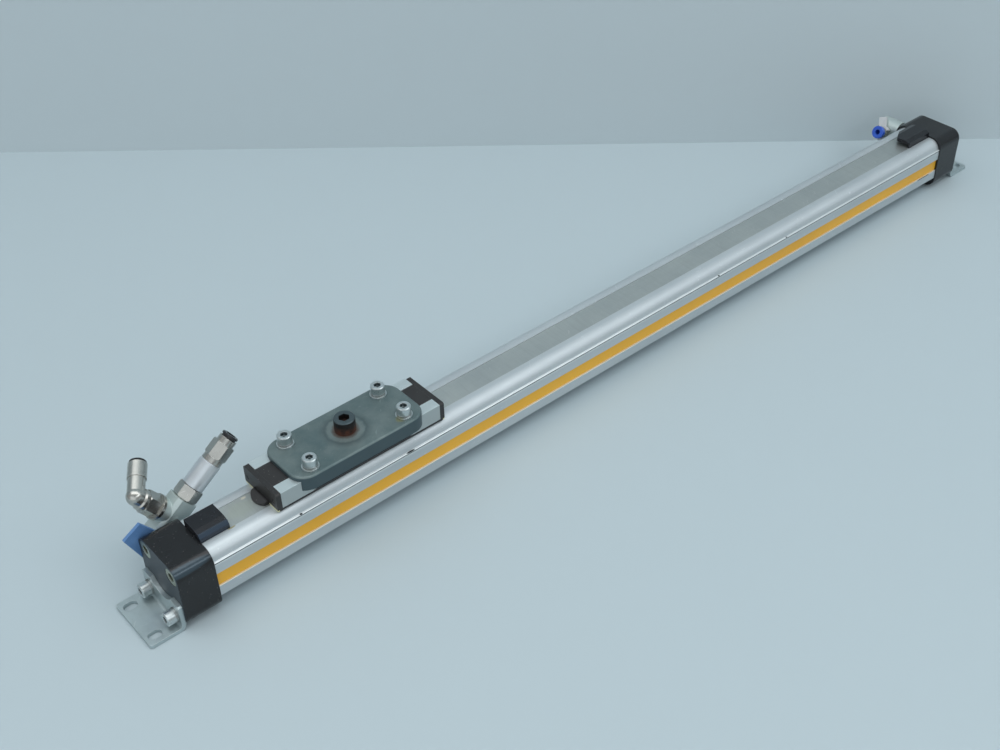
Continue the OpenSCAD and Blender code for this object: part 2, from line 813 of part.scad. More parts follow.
// Rounded tongues that wipe the outer band ahead of the carriage
module wiper_tongues() {
  z0 = band_top_z + glide;
  color([0.1, 0.1, 0.11]) at_carriage() both_ends() intersection() {
    run_y(-7, 7) polygon([[-half_c - tongue_l, z0], [-body_half + 5, z0], [-body_half + 5, z0 + 1.2],
      [-body_half - e, z0 + 2.8], [-half_c - 1, z0 + 2.8], [-half_c - tongue_l, z0 + 0.8]]);
    translate([-half_c - tongue_l + tongue_r, 0, z0 - 1]) union() {
      cylinder(h = 6, r = tongue_r);
      box_from(0, 2 * tongue_r, -8, 8, 0, 6);
    }
  }
}

module side_glides() {
  color([0.12, 0.12, 0.13]) at_carriage() for (s = [0, 1]) mirror([0, s, 0])
    box_from(-body_half + 0.1, body_half - 0.1, cover_w / 2 + 0.3, carriage_w / 2 - 0.2,
      top_z + glide, rail_z);
}

// ---- yoke and pistons ----

// Yoke: neck in the slot, wings in the carriage, and a channelled body in the bore
module yoke() {
  n = slot_w / 2 - free;
  // room round the inner band where it passes below the neck
  pass_w = inner_band_w / 2 + 0.4;
  color([0.6, 0.62, 0.65]) at_carriage() difference() {
    union() {
      at_axis() bar_x(-yoke_half, yoke_half, bore_d - 1.2);
      box_from(-neck_l / 2, neck_l / 2, -n, n, axis_z, yoke_plate_z1);
      box_from(-neck_l / 2, neck_l / 2, -cover_w / 2 - 3, cover_w / 2 + 3, yoke_plate_z0, yoke_plate_z1);
    }
    at_axis() run_y(-pass_w, pass_w) polygon([
      [-yoke_half - 1, inner_band_z - 1], [-dip_flat - dip_run, inner_band_z - 1],
      [-dip_flat, dip_z - 0.6], [dip_flat, dip_z - 0.6],
      [dip_flat + dip_run, inner_band_z - 1], [yoke_half + 1, inner_band_z - 1],
      [yoke_half + 1, bore_r + 1], [neck_l / 2 + 0.2, bore_r + 1], [neck_l / 2 + 0.2, dip_z + 1.4],
      [-neck_l / 2 - 0.2, dip_z + 1.4], [-neck_l / 2 - 0.2, bore_r + 1], [-yoke_half - 1, bore_r + 1]]);
    // shoulders of the bore body cleared beside the slot seat
    for (s = [0, 1]) mirror([0, s, 0]) at_axis()
      box_from(-neck_l / 2 - 1, neck_l / 2 + 1, n, seat_w / 2 + 0.4, bore_r - 2.2, bore_r + 1);
    // sockets of the pistons
    at_axis() for (s = [0, 1]) mirror([s, 0, 0]) translate([0, 0, -4]) bar_x(-yoke_half - 1, -yoke_half + 8, 9 + 2 * run);
  }
}

// Piston at the -X end, from its outer face inwards
module piston() {
  x0 = -piston_reach;
  x1 = -yoke_half;
  at_axis() difference() {
    union() {
      bar_x(x0, x1 - fit, piston_d);
      translate([0, 0, -4]) bar_x(x1 - 1, x1 + 7, 9);
    }
    // cushion pocket
    bar_x(x0 - 1, x0 + 18.5, 10);
    // grooves of the lip seal, the magnet and the guide ring
    translate([x0 + 2.5, 0, 0]) rotate([0, 90, 0]) ring(bore_d + 2, 18, 4);
    translate([x0 + 9, 0, 0]) rotate([0, 90, 0]) ring(bore_d + 2, 18, 4);
    translate([x0 + 15.5, 0, 0]) rotate([0, 90, 0]) ring(bore_d + 2, 21.4, 5);
  }
}

module near_piston() {
  color([0.75, 0.76, 0.78]) at_carriage() piston();
}

module far_piston() {
  color([0.75, 0.76, 0.78]) at_carriage() mirror([1, 0, 0]) piston();
}

module piston_seals() {
  color([0.15, 0.2, 0.35]) at_carriage() both_ends() at_axis()
    translate([-piston_reach + 2.6, 0, 0]) rotate([0, 90, 0]) rotate_extrude()
      polygon([[9 + run, 0.6], [bore_r - 1, 0.6], [bore_r - run, 0], [bore_r - run, 0.8],
        [bore_r - 0.9, 3.8], [9 + run, 3.8]]);
}

module piston_magnets() {
  color([0.3, 0.3, 0.3]) at_carriage() both_ends() at_axis()
    translate([-piston_reach + 9.1, 0, 0]) rotate([0, 90, 0]) ring(piston_d - 0.4, 18.1, 3.8);
}

module guide_rings() {
  color([0.9, 0.88, 0.8]) at_carriage() both_ends() at_axis()
    translate([-piston_reach + 15.6, 0, 0]) rotate([0, 90, 0]) ring(bore_d - 2 * run, 21.5, 4.8);
}

// ---- saddle plate ----

// Plate with rounded corners and rounded upper edges, top at Z = 0
module soft_plate(l, w, t, r, f) {
  q = [for (a = [0:15:90]) [r - f + f * cos(a), -f + f * sin(a)]];
  px = l / 2 - r;
  py = w / 2 - r;
  for (sx = [-1, 1], sy = [-1, 1]) translate([sx * px, sy * py, 0])
    rotate_extrude() polygon(concat([[0, -t], [r, -t]], q, [[0, 0]]));
  run_x(-px, px) polygon(concat([[-w / 2, -t], [w / 2, -t]], [for (p = q) [p[0] + py, p[1]]],
    [for (i = [len(q) - 1:-1:0]) [-q[i][0] - py, q[i][1]]]));
  run_y(-py, py) polygon(concat([[-l / 2, -t], [l / 2, -t]], [for (p = q) [p[0] + px, p[1]]],
    [for (i = [len(q) - 1:-1:0]) [-q[i][0] - px, q[i][1]]]));
}

module saddle_plate() {
  ch = carriage_w / 2 + fit;
  color([0.42, 0.45, 0.45]) at_carriage() translate([0, 0, deck_z]) difference() {
    translate([0, 0, saddle_t]) soft_plate(saddle_l, saddle_w, saddle_t + skirt_h, saddle_r, saddle_edge);
    // channel that straddles the carriage
    box_from(-saddle_l, saddle_l, -ch, ch, -skirt_h - 1, 0);
    translate([0, 0, -1]) four(plate_pitch_x, plate_pitch_y) cylinder(h = saddle_t + 2, d = 5.5);
    translate([0, 0, -1]) cylinder(h = saddle_t + 2, d = 6.8);
  }
}

module at_plate_screws() {
  at_carriage() translate([0, 0, deck_z + saddle_t]) four(plate_pitch_x, plate_pitch_y) children();
}

module plate_flat_washers() {
  color([0.72, 0.73, 0.78]) at_plate_screws() ring(flat_washer_d, 5.3, flat_washer_t);
}

module plate_spring_washers() {
  color([0.5, 0.5, 0.54]) at_plate_screws() translate([0, 0, flat_washer_t])
    spring_washer(spring_washer_d, 5.2, spring_washer_t);
}

module plate_screws() {
  color([0.7, 0.71, 0.77]) at_plate_screws() translate([0, 0, flat_washer_t + spring_washer_t])
    cap_screw(m5_head_d, m5_head_h, m5_hex, m5_root,
      flat_washer_t + spring_washer_t + saddle_t + plate_screw_depth, 2.6);
}

module driver_washer() {
  color([0.3, 0.2, 0.12]) at_carriage() translate([0, 0, deck_z + saddle_t])
    spring_washer(driver_head_d - 0.4, driver_root + 1.5, driver_washer_t);
}

module driver_screw() {
  color([0.12, 0.11, 0.11]) at_carriage() translate([0, 0, deck_z + saddle_t + driver_washer_t])
    cap_screw(driver_head_d, driver_head_h, 6, driver_root, driver_washer_t + saddle_t + 2, 4);
}

// ---- near valve, elbow and lever ----

// Local frame of the valve: +X along the valve, +Z up its branch side
module at_valve() {
  translate([near_port_x, valve_y, axis_z]) rotate([0, -valve_slope, 0]) children();
}

// Local frame of the branch: origin on the valve axis, +Z along the elbow leg
module at_branch() {
  at_valve() translate([branch_s, 0, 0]) rotate([-branch_lean, 0, 0]) children();
}

// Local frame of the elbow tube: +X along the tube from the knee
module at_knee() {
  at_branch() translate([0, 0, knee_h]) rotate([0, 0, elbow_turn]) children();
}

module port_spacer() {
  color("silver") translate([near_port_x, cap_side, axis_z]) rotate([-90, 0, 0])
    ring(12, port_d + 0.1, spacer_t);
}

module shutoff_lever() {
  y0 = cap_side + free;
  color([0.25, 0.48, 0.8]) translate([near_port_x, y0, axis_z]) rotate([0, -30, 0]) difference() {
    union() {
      bar_y(0, lever_t, 18.4);
      run_y(0, lever_t) polygon([[-8.7, 3], [-lever_tip_w / 2, lever_l], [lever_tip_w / 2, lever_l], [8.7, 3]]);
    }
    bar_y(-1, lever_t + 1, 12 + 2 * run);
  }
}

module port_bolt() {
  y1 = cap_side + spacer_t + fit;
  color([0.75, 0.74, 0.7]) difference() {
    translate([near_port_x, 0, axis_z]) {
      rotate([-90, 0, 0]) difference() {
        cylinder(h = valve_y + 4, d = port_d - 2 * run);
        translate([0, 0, -1]) cylinder(h = valve_y + 2, d = 4);
        translate([0, 0, -1]) cylinder(h = 9, d = 12);
      }
      translate([0, valve_y + 3.52, 0]) rotate([-90, 0, 0]) hex_nut(10, 3.6);
    }
    at_valve() bar_x(0.5, 8, 3.6);
  }
}

// Frosted block: eye round the port bolt, square body and the boss of the elbow
module valve_block() {
  y0 = cap_side + spacer_t + 0.02 - valve_y;
  color([0.72, 0.78, 0.76]) difference() {
    union() {
      at_valve() bar_y(y0, 3.5, 15);
      at_valve() run_x(4, block_end) intersection() {
        square([block_t, block_h], center = true);
        circle(d = block_h * 1.14);
      }
      at_branch() cylinder(h = boss_top, d = 14);
    }
    at_valve() bar_y(y0 - 1, 9, port_d);
    at_valve() bar_y(3.5, 12, 12.4);
    at_valve() bar_x(6, block_end + 1, 6);
    at_valve() bar_x(block_end - 7, block_end + 1, 9.2);
    at_branch() cylinder(h = boss_top + 1, d = 6);
    at_branch() translate([0, 0, boss_top - 6]) cylinder(h = 7, d = 8.4);
  }
}

module valve_hex() {
  color([0.72, 0.72, 0.7]) at_valve() rotate([0, 90, 0]) difference() {
    union() {
      translate([0, 0, block_end + 0.02]) cylinder(h = 0.6, d = 12);
      translate([0, 0, s_hex0]) rotate([0, 0, 12]) hex_nut(13, lower_hex_l);
      translate([0, 0, block_end - 6.5]) cylinder(h = 7.5, d = 9.1);
    }
    translate([0, 0, block_end - 8]) cylinder(h = 30, d = 5);
    translate([0, 0, s_sleeve0 - 3]) cylinder(h = 4, d = 9.2);
  }
}

module valve_sleeve() {
  color([0.8, 0.82, 0.85]) at_valve() rotate([0, 90, 0]) translate([0, 0, s_sleeve0 + 0.02])
    difference() {
      rotate_extrude() polygon([[0, 0], [sleeve_d / 2 - 0.4, 0], [sleeve_d / 2, 0.4],
        [sleeve_d / 2, sleeve_l - 0.44], [sleeve_d / 2 - 0.4, sleeve_l - 0.04], [0, sleeve_l - 0.04]]);
      translate([0, 0, -1]) cylinder(h = sleeve_l + 2, d = 9.2);
    }
}

module valve_head() {
  color([0.72, 0.71, 0.68]) at_valve() rotate([0, 90, 0]) difference() {
    union() {
      translate([0, 0, s_sleeve0 - 2.9]) cylinder(h = sleeve_l + 4, d = 9.1);
      translate([0, 0, s_collar0]) cylinder(h = collar_l + 0.1, d = 12);
      translate([0, 0, s_hex1]) rotate([0, 0, 12]) hex_nut(11.6, upper_hex_l);
      translate([0, 0, s_neck0 - 0.1]) cylinder(h = valve_neck_l + 0.1, d = valve_neck_d);
    }
    translate([0, 0, s_sleeve0 - 4]) cylinder(h = 60, d = 4);
    // hose socket and the seat of the release ring
    translate([0, 0, s_end - 16]) cylinder(h = 17, d = 2 * hose_r);
    translate([0, 0, s_end - 7]) cylinder(h = 8, d = 8.6 + 2 * run);
  }
}

// Release ring: sleeve inside the fitting and a thin flange outside it, mouth along +Z
module release_ring(hose, sleeve, flange, depth, lip) {
  difference() {
    union() {
      translate([0, 0, -depth]) cylinder(h = depth + 0.1, d = sleeve);
      translate([0, 0, 1.0]) rotate_extrude() polygon([[0, 0], [flange / 2, 0],
        [flange / 2, lip - 0.4], [flange / 2 - 0.4, lip], [0, lip]]);
      cylinder(h = 1.1, d = sleeve);
    }
    translate([0, 0, -depth - 1]) cylinder(h = depth + lip + 4, d = hose);
  }
}

module valve_collet() {
  color([0.12, 0.12, 0.13]) at_valve() rotate([0, 90, 0]) translate([0, 0, s_end])
    release_ring(2 * hose_r, 8.6, 9.9, 4.6, 1.4);
}

module elbow_stem() {
  color([0.5, 0.47, 0.42]) at_branch() difference() {
    union() {
      translate([0, 0, boss_top - 5.5]) cylinder(h = 6, d = 8.3);
      translate([0, 0, boss_top + 0.02]) cylinder(h = 2, d = 15.4);
      translate([0, 0, boss_top + 1.9]) rotate([0, 0, 10]) hex_nut(12.2, stem_top - boss_top - 1.9);
      translate([0, 0, stem_top - 0.5]) cylinder(h = 3.4, d = 7);
    }
    translate([0, 0, boss_top - 7]) cylinder(h = 40, d = 5);
  }
}

// Elbow that turns on the stem: bevelled collar, round knee and stepped hose tube
module elbow_body() {
  z0 = stem_top + free;
  r1 = elbow_d / 2 + 0.35;
  color([0.72, 0.71, 0.68]) difference() {
    union() {
      at_branch() translate([0, 0, z0]) rotate_extrude() union() {
        polygon([[0, 0], [leg_d / 2, 0], [leg_d / 2, 1.9], [leg_d / 2 - 0.8, 2.7], [0, 2.7]]);
        difference() {
          square([r1, knee_h - z0 + r1 - 0.15]);
          translate([0, knee_h - z0]) difference() {
            square([leg_d, leg_d]);
            circle(r = r1);
          }
        }
      }
      at_knee() bar_x(0, elbow_l / 2, elbow_d);
      at_knee() bar_x(elbow_l / 2, elbow_l - 1.2, elbow_end_d);
    }
    at_branch() translate([0, 0, z0 - 1]) cylinder(h = 4, d = 7 + 2 * run);
    at_branch() translate([0, 0, z0]) cylinder(h = knee_h - z0, d = 3.4);
    at_knee() bar_x(-2.4, elbow_l, 4);
    at_knee() bar_x(elbow_l - 16, elbow_l, 2 * hose_r);
    at_knee() bar_x(elbow_l - 8, elbow_l, 8.6 + 2 * run);
  }
}

module elbow_collet() {
  color([0.12, 0.12, 0.13]) at_knee() rotate([0, 90, 0]) translate([0, 0, elbow_l - 1.2])
    release_ring(2 * hose_r, 8.6, 9.8, 4.6, 0.8);
}

// ---- far fitting ----

module at_arm() {
  translate([far_port_x, cap_side + arm_out, axis_z]) rotate([0, -180 + arm_slope, 0]) children();
}

module far_port_bolt() {
  color([0.74, 0.73, 0.7]) translate([far_port_x, 0, axis_z]) rotate([-90, 0, 0]) difference() {
    union() {
      cylinder(h = cap_side + 20, d = port_d - 2 * run);
      translate([0, 0, cap_side + 19.9]) hex_nut(12, 3.6);
    }
    translate([0, 0, -1]) cylinder(h = cap_side + 12, d = 4);
    translate([0, 0, -1]) cylinder(h = 9, d = 12);
  }
}

module far_block() {
  y0 = cap_side + 0.02;
  y1 = cap_side + 19.8;
  color([0.76, 0.78, 0.74]) difference() {
    translate([far_port_x, 0, axis_z]) {
      bar_y(y0, y1 - 1.5, 14);
      translate([0, 0, 7]) bar_y(y0 + 4, y1, 14);
      box_from(-7, 7, y0 + 4, y1 - 1.5, 0, 7);
    }
    translate([far_port_x, 0, axis_z]) bar_y(0, y1 + 1, port_d);
    translate([far_port_x, 0, axis_z]) bar_y(y1 - 1.5, y1 + 1, 14);
    at_arm() rotate([0, 90, 0]) cylinder(h = 12, d = 7 + 2 * run);
  }
}

module far_arm() {
  color([0.72, 0.71, 0.68]) at_arm() rotate([0, 90, 0]) difference() {
    union() {
      translate([0, 0, 4.8]) cylinder(h = 6, d = 7);
      translate([0, 0, 10.3]) cylinder(h = arm_l - 4.2 - 10.3, d = arm_d);
    }
    translate([0, 0, 4]) cylinder(h = arm_l, d = 2.6);
    translate([0, 0, 7.5]) cylinder(h = arm_l, d = 2 * small_hose_r);
    translate([0, 0, arm_l - 9.4]) cylinder(h = 10, d = 6.4 + 2 * run);
  }
}

module far_collet() {
  color([0.2, 0.4, 0.85]) at_arm() rotate([0, 90, 0]) translate([0, 0, arm_l - 4.2])
    release_ring(2 * small_hose_r, 6.4, 10, 4, 3.2);
}

// Plain clip round the arm with a bare flag
module far_tag() {
  color([0.92, 0.92, 0.92]) at_arm() rotate([0, 90, 0]) translate([0, 0, 10.5]) {
    difference() {
      ring(arm_d + 3, arm_d + 2 * run, 3.6);
      rotate([0, 0, -50]) translate([0, -10, -1]) cube([20, 10, 6]);
    }
    rotate([0, 0, 22]) translate([arm_d / 2 + 1, -flag_w / 2, 0.6]) cube([flag_h, flag_w, 1.4]);
  }
}

barrel();
side_strip();
outer_band();
inner_band();
near_cap();
far_cap();
near_sleeve_screws();
far_sleeve_screws();
near_cap_ring();
far_cap_ring();
near_cushion_bush();
far_cushion_bush();
near_cushion_screw();
far_cushion_screw();
near_clamp();
far_clamp();
near_foot();
far_foot();
foot_screws();
foot_spring_washers();
carriage_body();
carriage_cover();
near_end_plate();
far_end_plate();
felt_scrapers();
wiper_tongues();
side_glides();
yoke();
near_piston();
far_piston();
piston_seals();
guide_rings();
piston_magnets();
saddle_plate();
plate_screws();
plate_spring_washers();
plate_flat_washers();
driver_screw();
driver_washer();
port_spacer();
shutoff_lever();
port_bolt();
valve_block();
valve_hex();
valve_sleeve();
valve_head();
valve_collet();
elbow_stem();
elbow_body();
elbow_collet();
far_port_bolt();
far_block();
far_arm();
far_collet();
far_tag();
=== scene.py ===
# %% [markdown]
# # Dressing a rodless air cylinder
# A rodless cylinder is a slotted aluminium tube. A piston runs inside it, and a carriage on top is
# tied to the piston by a bridge through the slot. Two thin steel bands close the slot before and
# behind the carriage. The exact solids come from the frame and already have the right shape, so
# most of this lesson is about finishes: drawn aluminium, brushed steel band, black caps, zinc
# plate, nickel, and the grime of a used machine. The first cell loads the frame. Everything is in
# metres, with +X along the stroke and +Z up.

# %% Load the frame
import bpy, bmesh, math
from mathutils import Vector, Matrix


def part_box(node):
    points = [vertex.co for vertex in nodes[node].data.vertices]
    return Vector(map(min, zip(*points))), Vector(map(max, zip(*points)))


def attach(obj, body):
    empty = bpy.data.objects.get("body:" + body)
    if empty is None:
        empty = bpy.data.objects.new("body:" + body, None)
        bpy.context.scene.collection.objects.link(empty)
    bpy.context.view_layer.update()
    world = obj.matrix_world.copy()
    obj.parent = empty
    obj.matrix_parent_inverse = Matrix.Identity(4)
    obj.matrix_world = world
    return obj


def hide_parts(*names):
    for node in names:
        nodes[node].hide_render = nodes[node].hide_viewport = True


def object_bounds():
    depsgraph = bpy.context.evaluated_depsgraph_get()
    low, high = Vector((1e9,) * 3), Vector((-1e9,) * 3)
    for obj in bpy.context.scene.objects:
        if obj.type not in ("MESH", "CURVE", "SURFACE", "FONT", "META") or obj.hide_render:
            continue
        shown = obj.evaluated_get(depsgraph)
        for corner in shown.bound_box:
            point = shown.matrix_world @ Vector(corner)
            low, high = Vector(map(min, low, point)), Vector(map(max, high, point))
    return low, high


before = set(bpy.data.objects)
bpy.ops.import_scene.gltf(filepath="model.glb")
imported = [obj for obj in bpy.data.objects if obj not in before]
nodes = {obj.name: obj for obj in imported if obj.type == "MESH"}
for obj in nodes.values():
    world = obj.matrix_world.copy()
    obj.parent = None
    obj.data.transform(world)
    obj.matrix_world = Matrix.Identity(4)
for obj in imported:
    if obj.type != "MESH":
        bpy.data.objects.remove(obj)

cad_low, cad_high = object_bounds()
print("nodes", len(nodes), "box in mm", [round(1000 * v, 1) for v in (*cad_low, *cad_high)])

# %% [markdown]
# A material is a small graph. Writing every node out by hand hides the idea behind the plumbing, so
# one helper adds a node, sets its values and makes its links in a single line: a value that is
# itself a socket becomes a link. `number` does arithmetic, `blend` mixes two colours or numbers,
# and `steps` is a grey ramp.

# %% Helpers for shader graphs
def fill(tree, node, values):
    for key, value in values.items():
        if isinstance(value, bpy.types.NodeSocket):
            tree.links.new(value, node.inputs[key])
        else:
            node.inputs[key].default_value = value
    return node


def add(tree, kind, values=None, **settings):
    node = tree.nodes.new("ShaderNode" + kind)
    for name, value in settings.items():
        setattr(node, name, value)
    return fill(tree, node, values or {})


def number(tree, operation, a, b=0.0, clamp=False):
    return add(tree, "Math", {0: a, 1: b}, operation=operation, use_clamp=clamp).outputs[0]


def blend(tree, amount, a, b):
    return add(tree, "Mix", {0: amount, 6: a, 7: b}, data_type="RGBA").outputs[2]


def between(tree, amount, low, high):
    return add(tree, "Mix", {0: amount, 2: low, 3: high}, data_type="FLOAT").outputs[0]


def steps(tree, value, *stops):
    ramp = add(tree, "ValToRGB", {0: value})
    for place, level in stops[1:-1]:
        ramp.color_ramp.elements.new(place)
    for element, (place, level) in zip(ramp.color_ramp.elements, stops):
        element.position, element.color = place, (level, level, level, 1)
    return ramp.outputs[0]


def stretched(tree, place, sizes):
    return add(tree, "VectorMath", {0: place, 1: sizes}, operation="MULTIPLY").outputs[0]


def noise(tree, place, scale=1.0, detail=3.0, roughness=0.55):
    values = {"Vector": place, "Scale": scale, "Detail": detail, "Roughness": roughness}
    return add(tree, "TexNoise", values).outputs[0]


print("graph helpers ready")

# %% [markdown]
# Some effects are needed in nearly every finish, so each one is a node group, made once, with named
# sockets. A group here only puts out masks, heights and normals that change over the surface. The
# shader and every plain number stay in the material, where the export can read them.

# %% Helpers for groups
def group(name, inputs, outputs):
    tree = bpy.data.node_groups.new(name, "ShaderNodeTree")
    for label, kind, value in inputs:
        socket = tree.interface.new_socket(name=label, in_out="INPUT",
                                           socket_type="NodeSocket" + kind)
        socket.default_value = value
    for label, kind in outputs:
        tree.interface.new_socket(name=label, in_out="OUTPUT", socket_type="NodeSocket" + kind)
    return tree, tree.nodes.new("NodeGroupInput").outputs, tree.nodes.new("NodeGroupOutput")


def place_group(tree, source, values):
    node = tree.nodes.new("ShaderNodeGroup")
    node.node_tree = source
    return fill(tree, node, values)


print("group helpers ready")

# %% [markdown]
# Real edges are never perfectly sharp: a deburred edge has a radius of a few tenths of a
# millimetre, and that thin strip catches the light. Bevelling every solid would mean new meshes for
# fifty pieces. The Bevel shader node rounds the normal instead, and where its normal turns away
# from the true one there is an edge, which gives a wear mask.

# %% Group: soft edges
soft_edges, ins, outs = group("soft_edges", [("Radius", "Float", 0.0002)],
                              [("Normal", "Vector"), ("Edge", "Float")])
rounded = add(soft_edges, "Bevel", {"Radius": ins["Radius"]}, samples=6).outputs[0]
flat = soft_edges.nodes.new("ShaderNodeNewGeometry").outputs["Normal"]
alike = add(soft_edges, "VectorMath", {0: rounded, 1: flat},
            operation="DOT_PRODUCT").outputs["Value"]
turned = number(soft_edges, "SUBTRACT", 1.0, alike)
edge_gain = 7.0
edge = number(soft_edges, "MULTIPLY", turned, edge_gain, clamp=True)
fill(soft_edges, outs, {"Normal": rounded, "Edge": edge})
print("soft_edges has", len(soft_edges.nodes), "nodes")

# %% [markdown]
# Drawn, rolled and turned metal all show fine parallel lines. They are noise that is stretched a
# few hundred times along the working direction: squeezing the coordinates across the lines does
# that. The same group serves the tube (lines along X), the brushed band and the turned yoke,
# each with its own stretch.

# %% Group: working lines
work_lines, ins, outs = group("work_lines", [("Vector", "Vector", (0, 0, 0)),
                                             ("Stretch", "Vector", (4, 900, 900))],
                              [("Lines", "Float"), ("Bands", "Float")])
drawn = stretched(work_lines, ins["Vector"], ins["Stretch"])
wide = stretched(work_lines, drawn, (0.6, 0.16, 0.16))
fill(work_lines, outs, {"Lines": noise(work_lines, drawn, 1.0, 4.0, 0.7),
                        "Bands": noise(work_lines, wide, 1.0, 2.0)})
print("work_lines has", len(work_lines.nodes), "nodes")

# %% [markdown]
# Handling leaves long thin scratches in random directions and small specks of dust or pits. A
# scratch is stretched noise again, cut off near its top so that only thin threads are left, and
# broken up by a second, slower noise. Specks are the inner cores of Voronoi cells, of which a
# random share is kept.

# %% Groups: scratches and specks
scratches, ins, outs = group("scratches", [("Vector", "Vector", (0, 0, 0)),
                                           ("Scale", "Float", 20.0)], [("Mask", "Float")])
threads = []
for angle, gate in ((0.35, 3.1), (-0.9, 5.7)):
    turned = add(scratches, "Mapping", {"Vector": ins["Vector"],
                                        "Rotation": (0.2, 0.1, angle)}).outputs[0]
    long = noise(scratches, stretched(scratches, turned, (1, 42, 42)), ins["Scale"], 2.0)
    patch = noise(scratches, stretched(scratches, turned, (gate, gate, gate)), ins["Scale"], 1.0)
    thread = steps(scratches, long, (0.665, 0), (0.70, 1))
    kept = steps(scratches, patch, (0.52, 0), (0.62, 1))
    threads.append(number(scratches, "MULTIPLY", thread, kept))
fill(scratches, outs, {"Mask": number(scratches, "MAXIMUM", *threads)})

specks, ins, outs = group("specks", [("Vector", "Vector", (0, 0, 0)), ("Scale", "Float", 400.0),
                                     ("Share", "Float", 0.3)], [("Mask", "Float")])
cells = add(specks, "TexVoronoi", {"Vector": ins["Vector"], "Scale": ins["Scale"]})
chance = add(specks, "SeparateColor", {0: cells.outputs["Color"]}).outputs[0]
chosen = number(specks, "LESS_THAN", chance, ins["Share"])
core = steps(specks, cells.outputs["Distance"], (0.12, 1), (0.22, 0))
fill(specks, outs, {"Mask": number(specks, "MULTIPLY", core, chosen)})
print("scratches", len(scratches.nodes), "nodes, specks", len(specks.nodes), "nodes")

# %% [markdown]
# Now the recipe that every finish shares. A base colour drifts towards a second tone in soft
# clouds, roughness drifts with it, working lines and a fine grain feed the bump, and worn edges
# turn to their own colour. Each finish below then only states how it differs. The bump's normal
# comes from the rounded edges.

# %% The shared recipe
scratch_depth = 4e-6
scratch_scale = 22.0
dust_scale, dust_share, dust_color = 900.0, 0.16, (0.42, 0.40, 0.37, 1)


def lighter(color, gain, lift):
    return [min(1, gain * c + lift) for c in color]


def finish(name, color, tone, metallic, rough, clouds=40.0, lines=None, line_depth=2e-6,
           grain=2500.0, grain_depth=2e-6, edge=0.0002, edge_color=None, edge_amount=0.5,
           scratched=0.0, dusty=0.0):
    material = bpy.data.materials.new(name)
    material.use_nodes = True
    tree = material.node_tree
    shader = tree.nodes["Principled BSDF"]
    shader.inputs["Metallic"].default_value = metallic
    place = tree.nodes.new("ShaderNodeTexCoord").outputs["Object"]
    edges = place_group(tree, soft_edges, {"Radius": edge})
    cloud = steps(tree, noise(tree, place, clouds, 4.0, 0.6), (0.32, 0), (0.68, 1))
    paint = blend(tree, cloud, (*color, 1), (*tone, 1))
    shine = between(tree, noise(tree, place, clouds * 2.7, 3.0), rough[0], rough[1])
    height = number(tree, "MULTIPLY", noise(tree, place, grain, 2.0), grain_depth)
    if lines:
        marks = place_group(tree, work_lines, {"Vector": place, "Stretch": lines})
        relief = number(tree, "MULTIPLY", marks.outputs["Lines"], line_depth)
        height = number(tree, "ADD", height, relief)
        drift = number(tree, "SUBTRACT", marks.outputs["Bands"], 0.5)
        shine = number(tree, "ADD", shine, number(tree, "MULTIPLY", drift, 0.25), clamp=True)
        darker = number(tree, "ADD", number(tree, "MULTIPLY", marks.outputs["Lines"], 0.24), 0.86)
        paint = blend(tree, 0.35, paint, stretched(tree, paint, darker))
    if scratched:
        cuts = place_group(tree, scratches, {"Vector": place, "Scale": scratch_scale}).outputs[0]
        cuts = number(tree, "MULTIPLY", cuts, scratched)
        paint = blend(tree, cuts, paint, (*(edge_color or lighter(color, 1.4, 0.03)), 1))
        height = number(tree, "SUBTRACT", height, number(tree, "MULTIPLY", cuts, scratch_depth))
    if dusty:
        dust = place_group(tree, specks, {"Vector": place, "Scale": dust_scale,
                                          "Share": dust_share}).outputs[0]
        paint = blend(tree, number(tree, "MULTIPLY", dust, dusty), paint, dust_color)
        matt = number(tree, "MULTIPLY", dust, 0.3 * dusty)
        shine = number(tree, "ADD", shine, matt, clamp=True)
    worn = number(tree, "MULTIPLY", edges.outputs["Edge"], edge_amount)
    paint = blend(tree, worn, paint, (*(edge_color or lighter(color, 1.35, 0.02)), 1))
    bump = add(tree, "Bump", {"Strength": 1.0, "Distance": 1.0, "Height": height,
                              "Normal": edges.outputs["Normal"]})
    fill(tree, shader, {"Base Color": paint, "Roughness": shine, "Normal": bump.outputs[0]})
    return material


def overlay(material, mask, color, rough=None, amount=1.0):
    """Lays a stain, rub mark, coat, painted shade or painted highlight over a finish wherever
    mask(tree, place) is bright.
    """
    tree = material.node_tree
    shader = tree.nodes["Principled BSDF"]
    place = next(n for n in tree.nodes if n.type == "TEX_COORD").outputs["Object"]
    where = number(tree, "MULTIPLY", mask(tree, place), amount)
    under = shader.inputs["Base Color"].links[0].from_socket
    fill(tree, shader, {"Base Color": blend(tree, where, under, (*color, 1))})
    if rough is not None:
        under = shader.inputs["Roughness"].links[0].from_socket
        fill(tree, shader, {"Roughness": between(tree, where, under, rough)})


def wear(material, names):
    """Puts a finish on CAD nodes."""
    for name in names.split():
        slots = nodes[name].material_slots
        for slot in slots:
            slot.material = material
        if not slots:
            nodes[name].data.materials.append(material)
    print(material.name, "on", names)

# %% [markdown]
# Marks sit at known places, so a mask is a shape in the machine's own coordinates. `spot` is a
# small ellipsoid with a ragged rim: the distance to a point, scaled per axis, cut off at one.
# `slab` is bright between two heights, depths or lengths. `both` keeps what two masks share.

# %% Masks for marks
def away(tree, place, point):
    return add(tree, "VectorMath", {0: place, 1: point}, operation="SUBTRACT").outputs[0]


def distance(tree, vector):
    return add(tree, "VectorMath", {0: vector}, operation="LENGTH").outputs["Value"]


def height_of(tree, place):
    return add(tree, "SeparateXYZ", {0: place}).outputs[2]


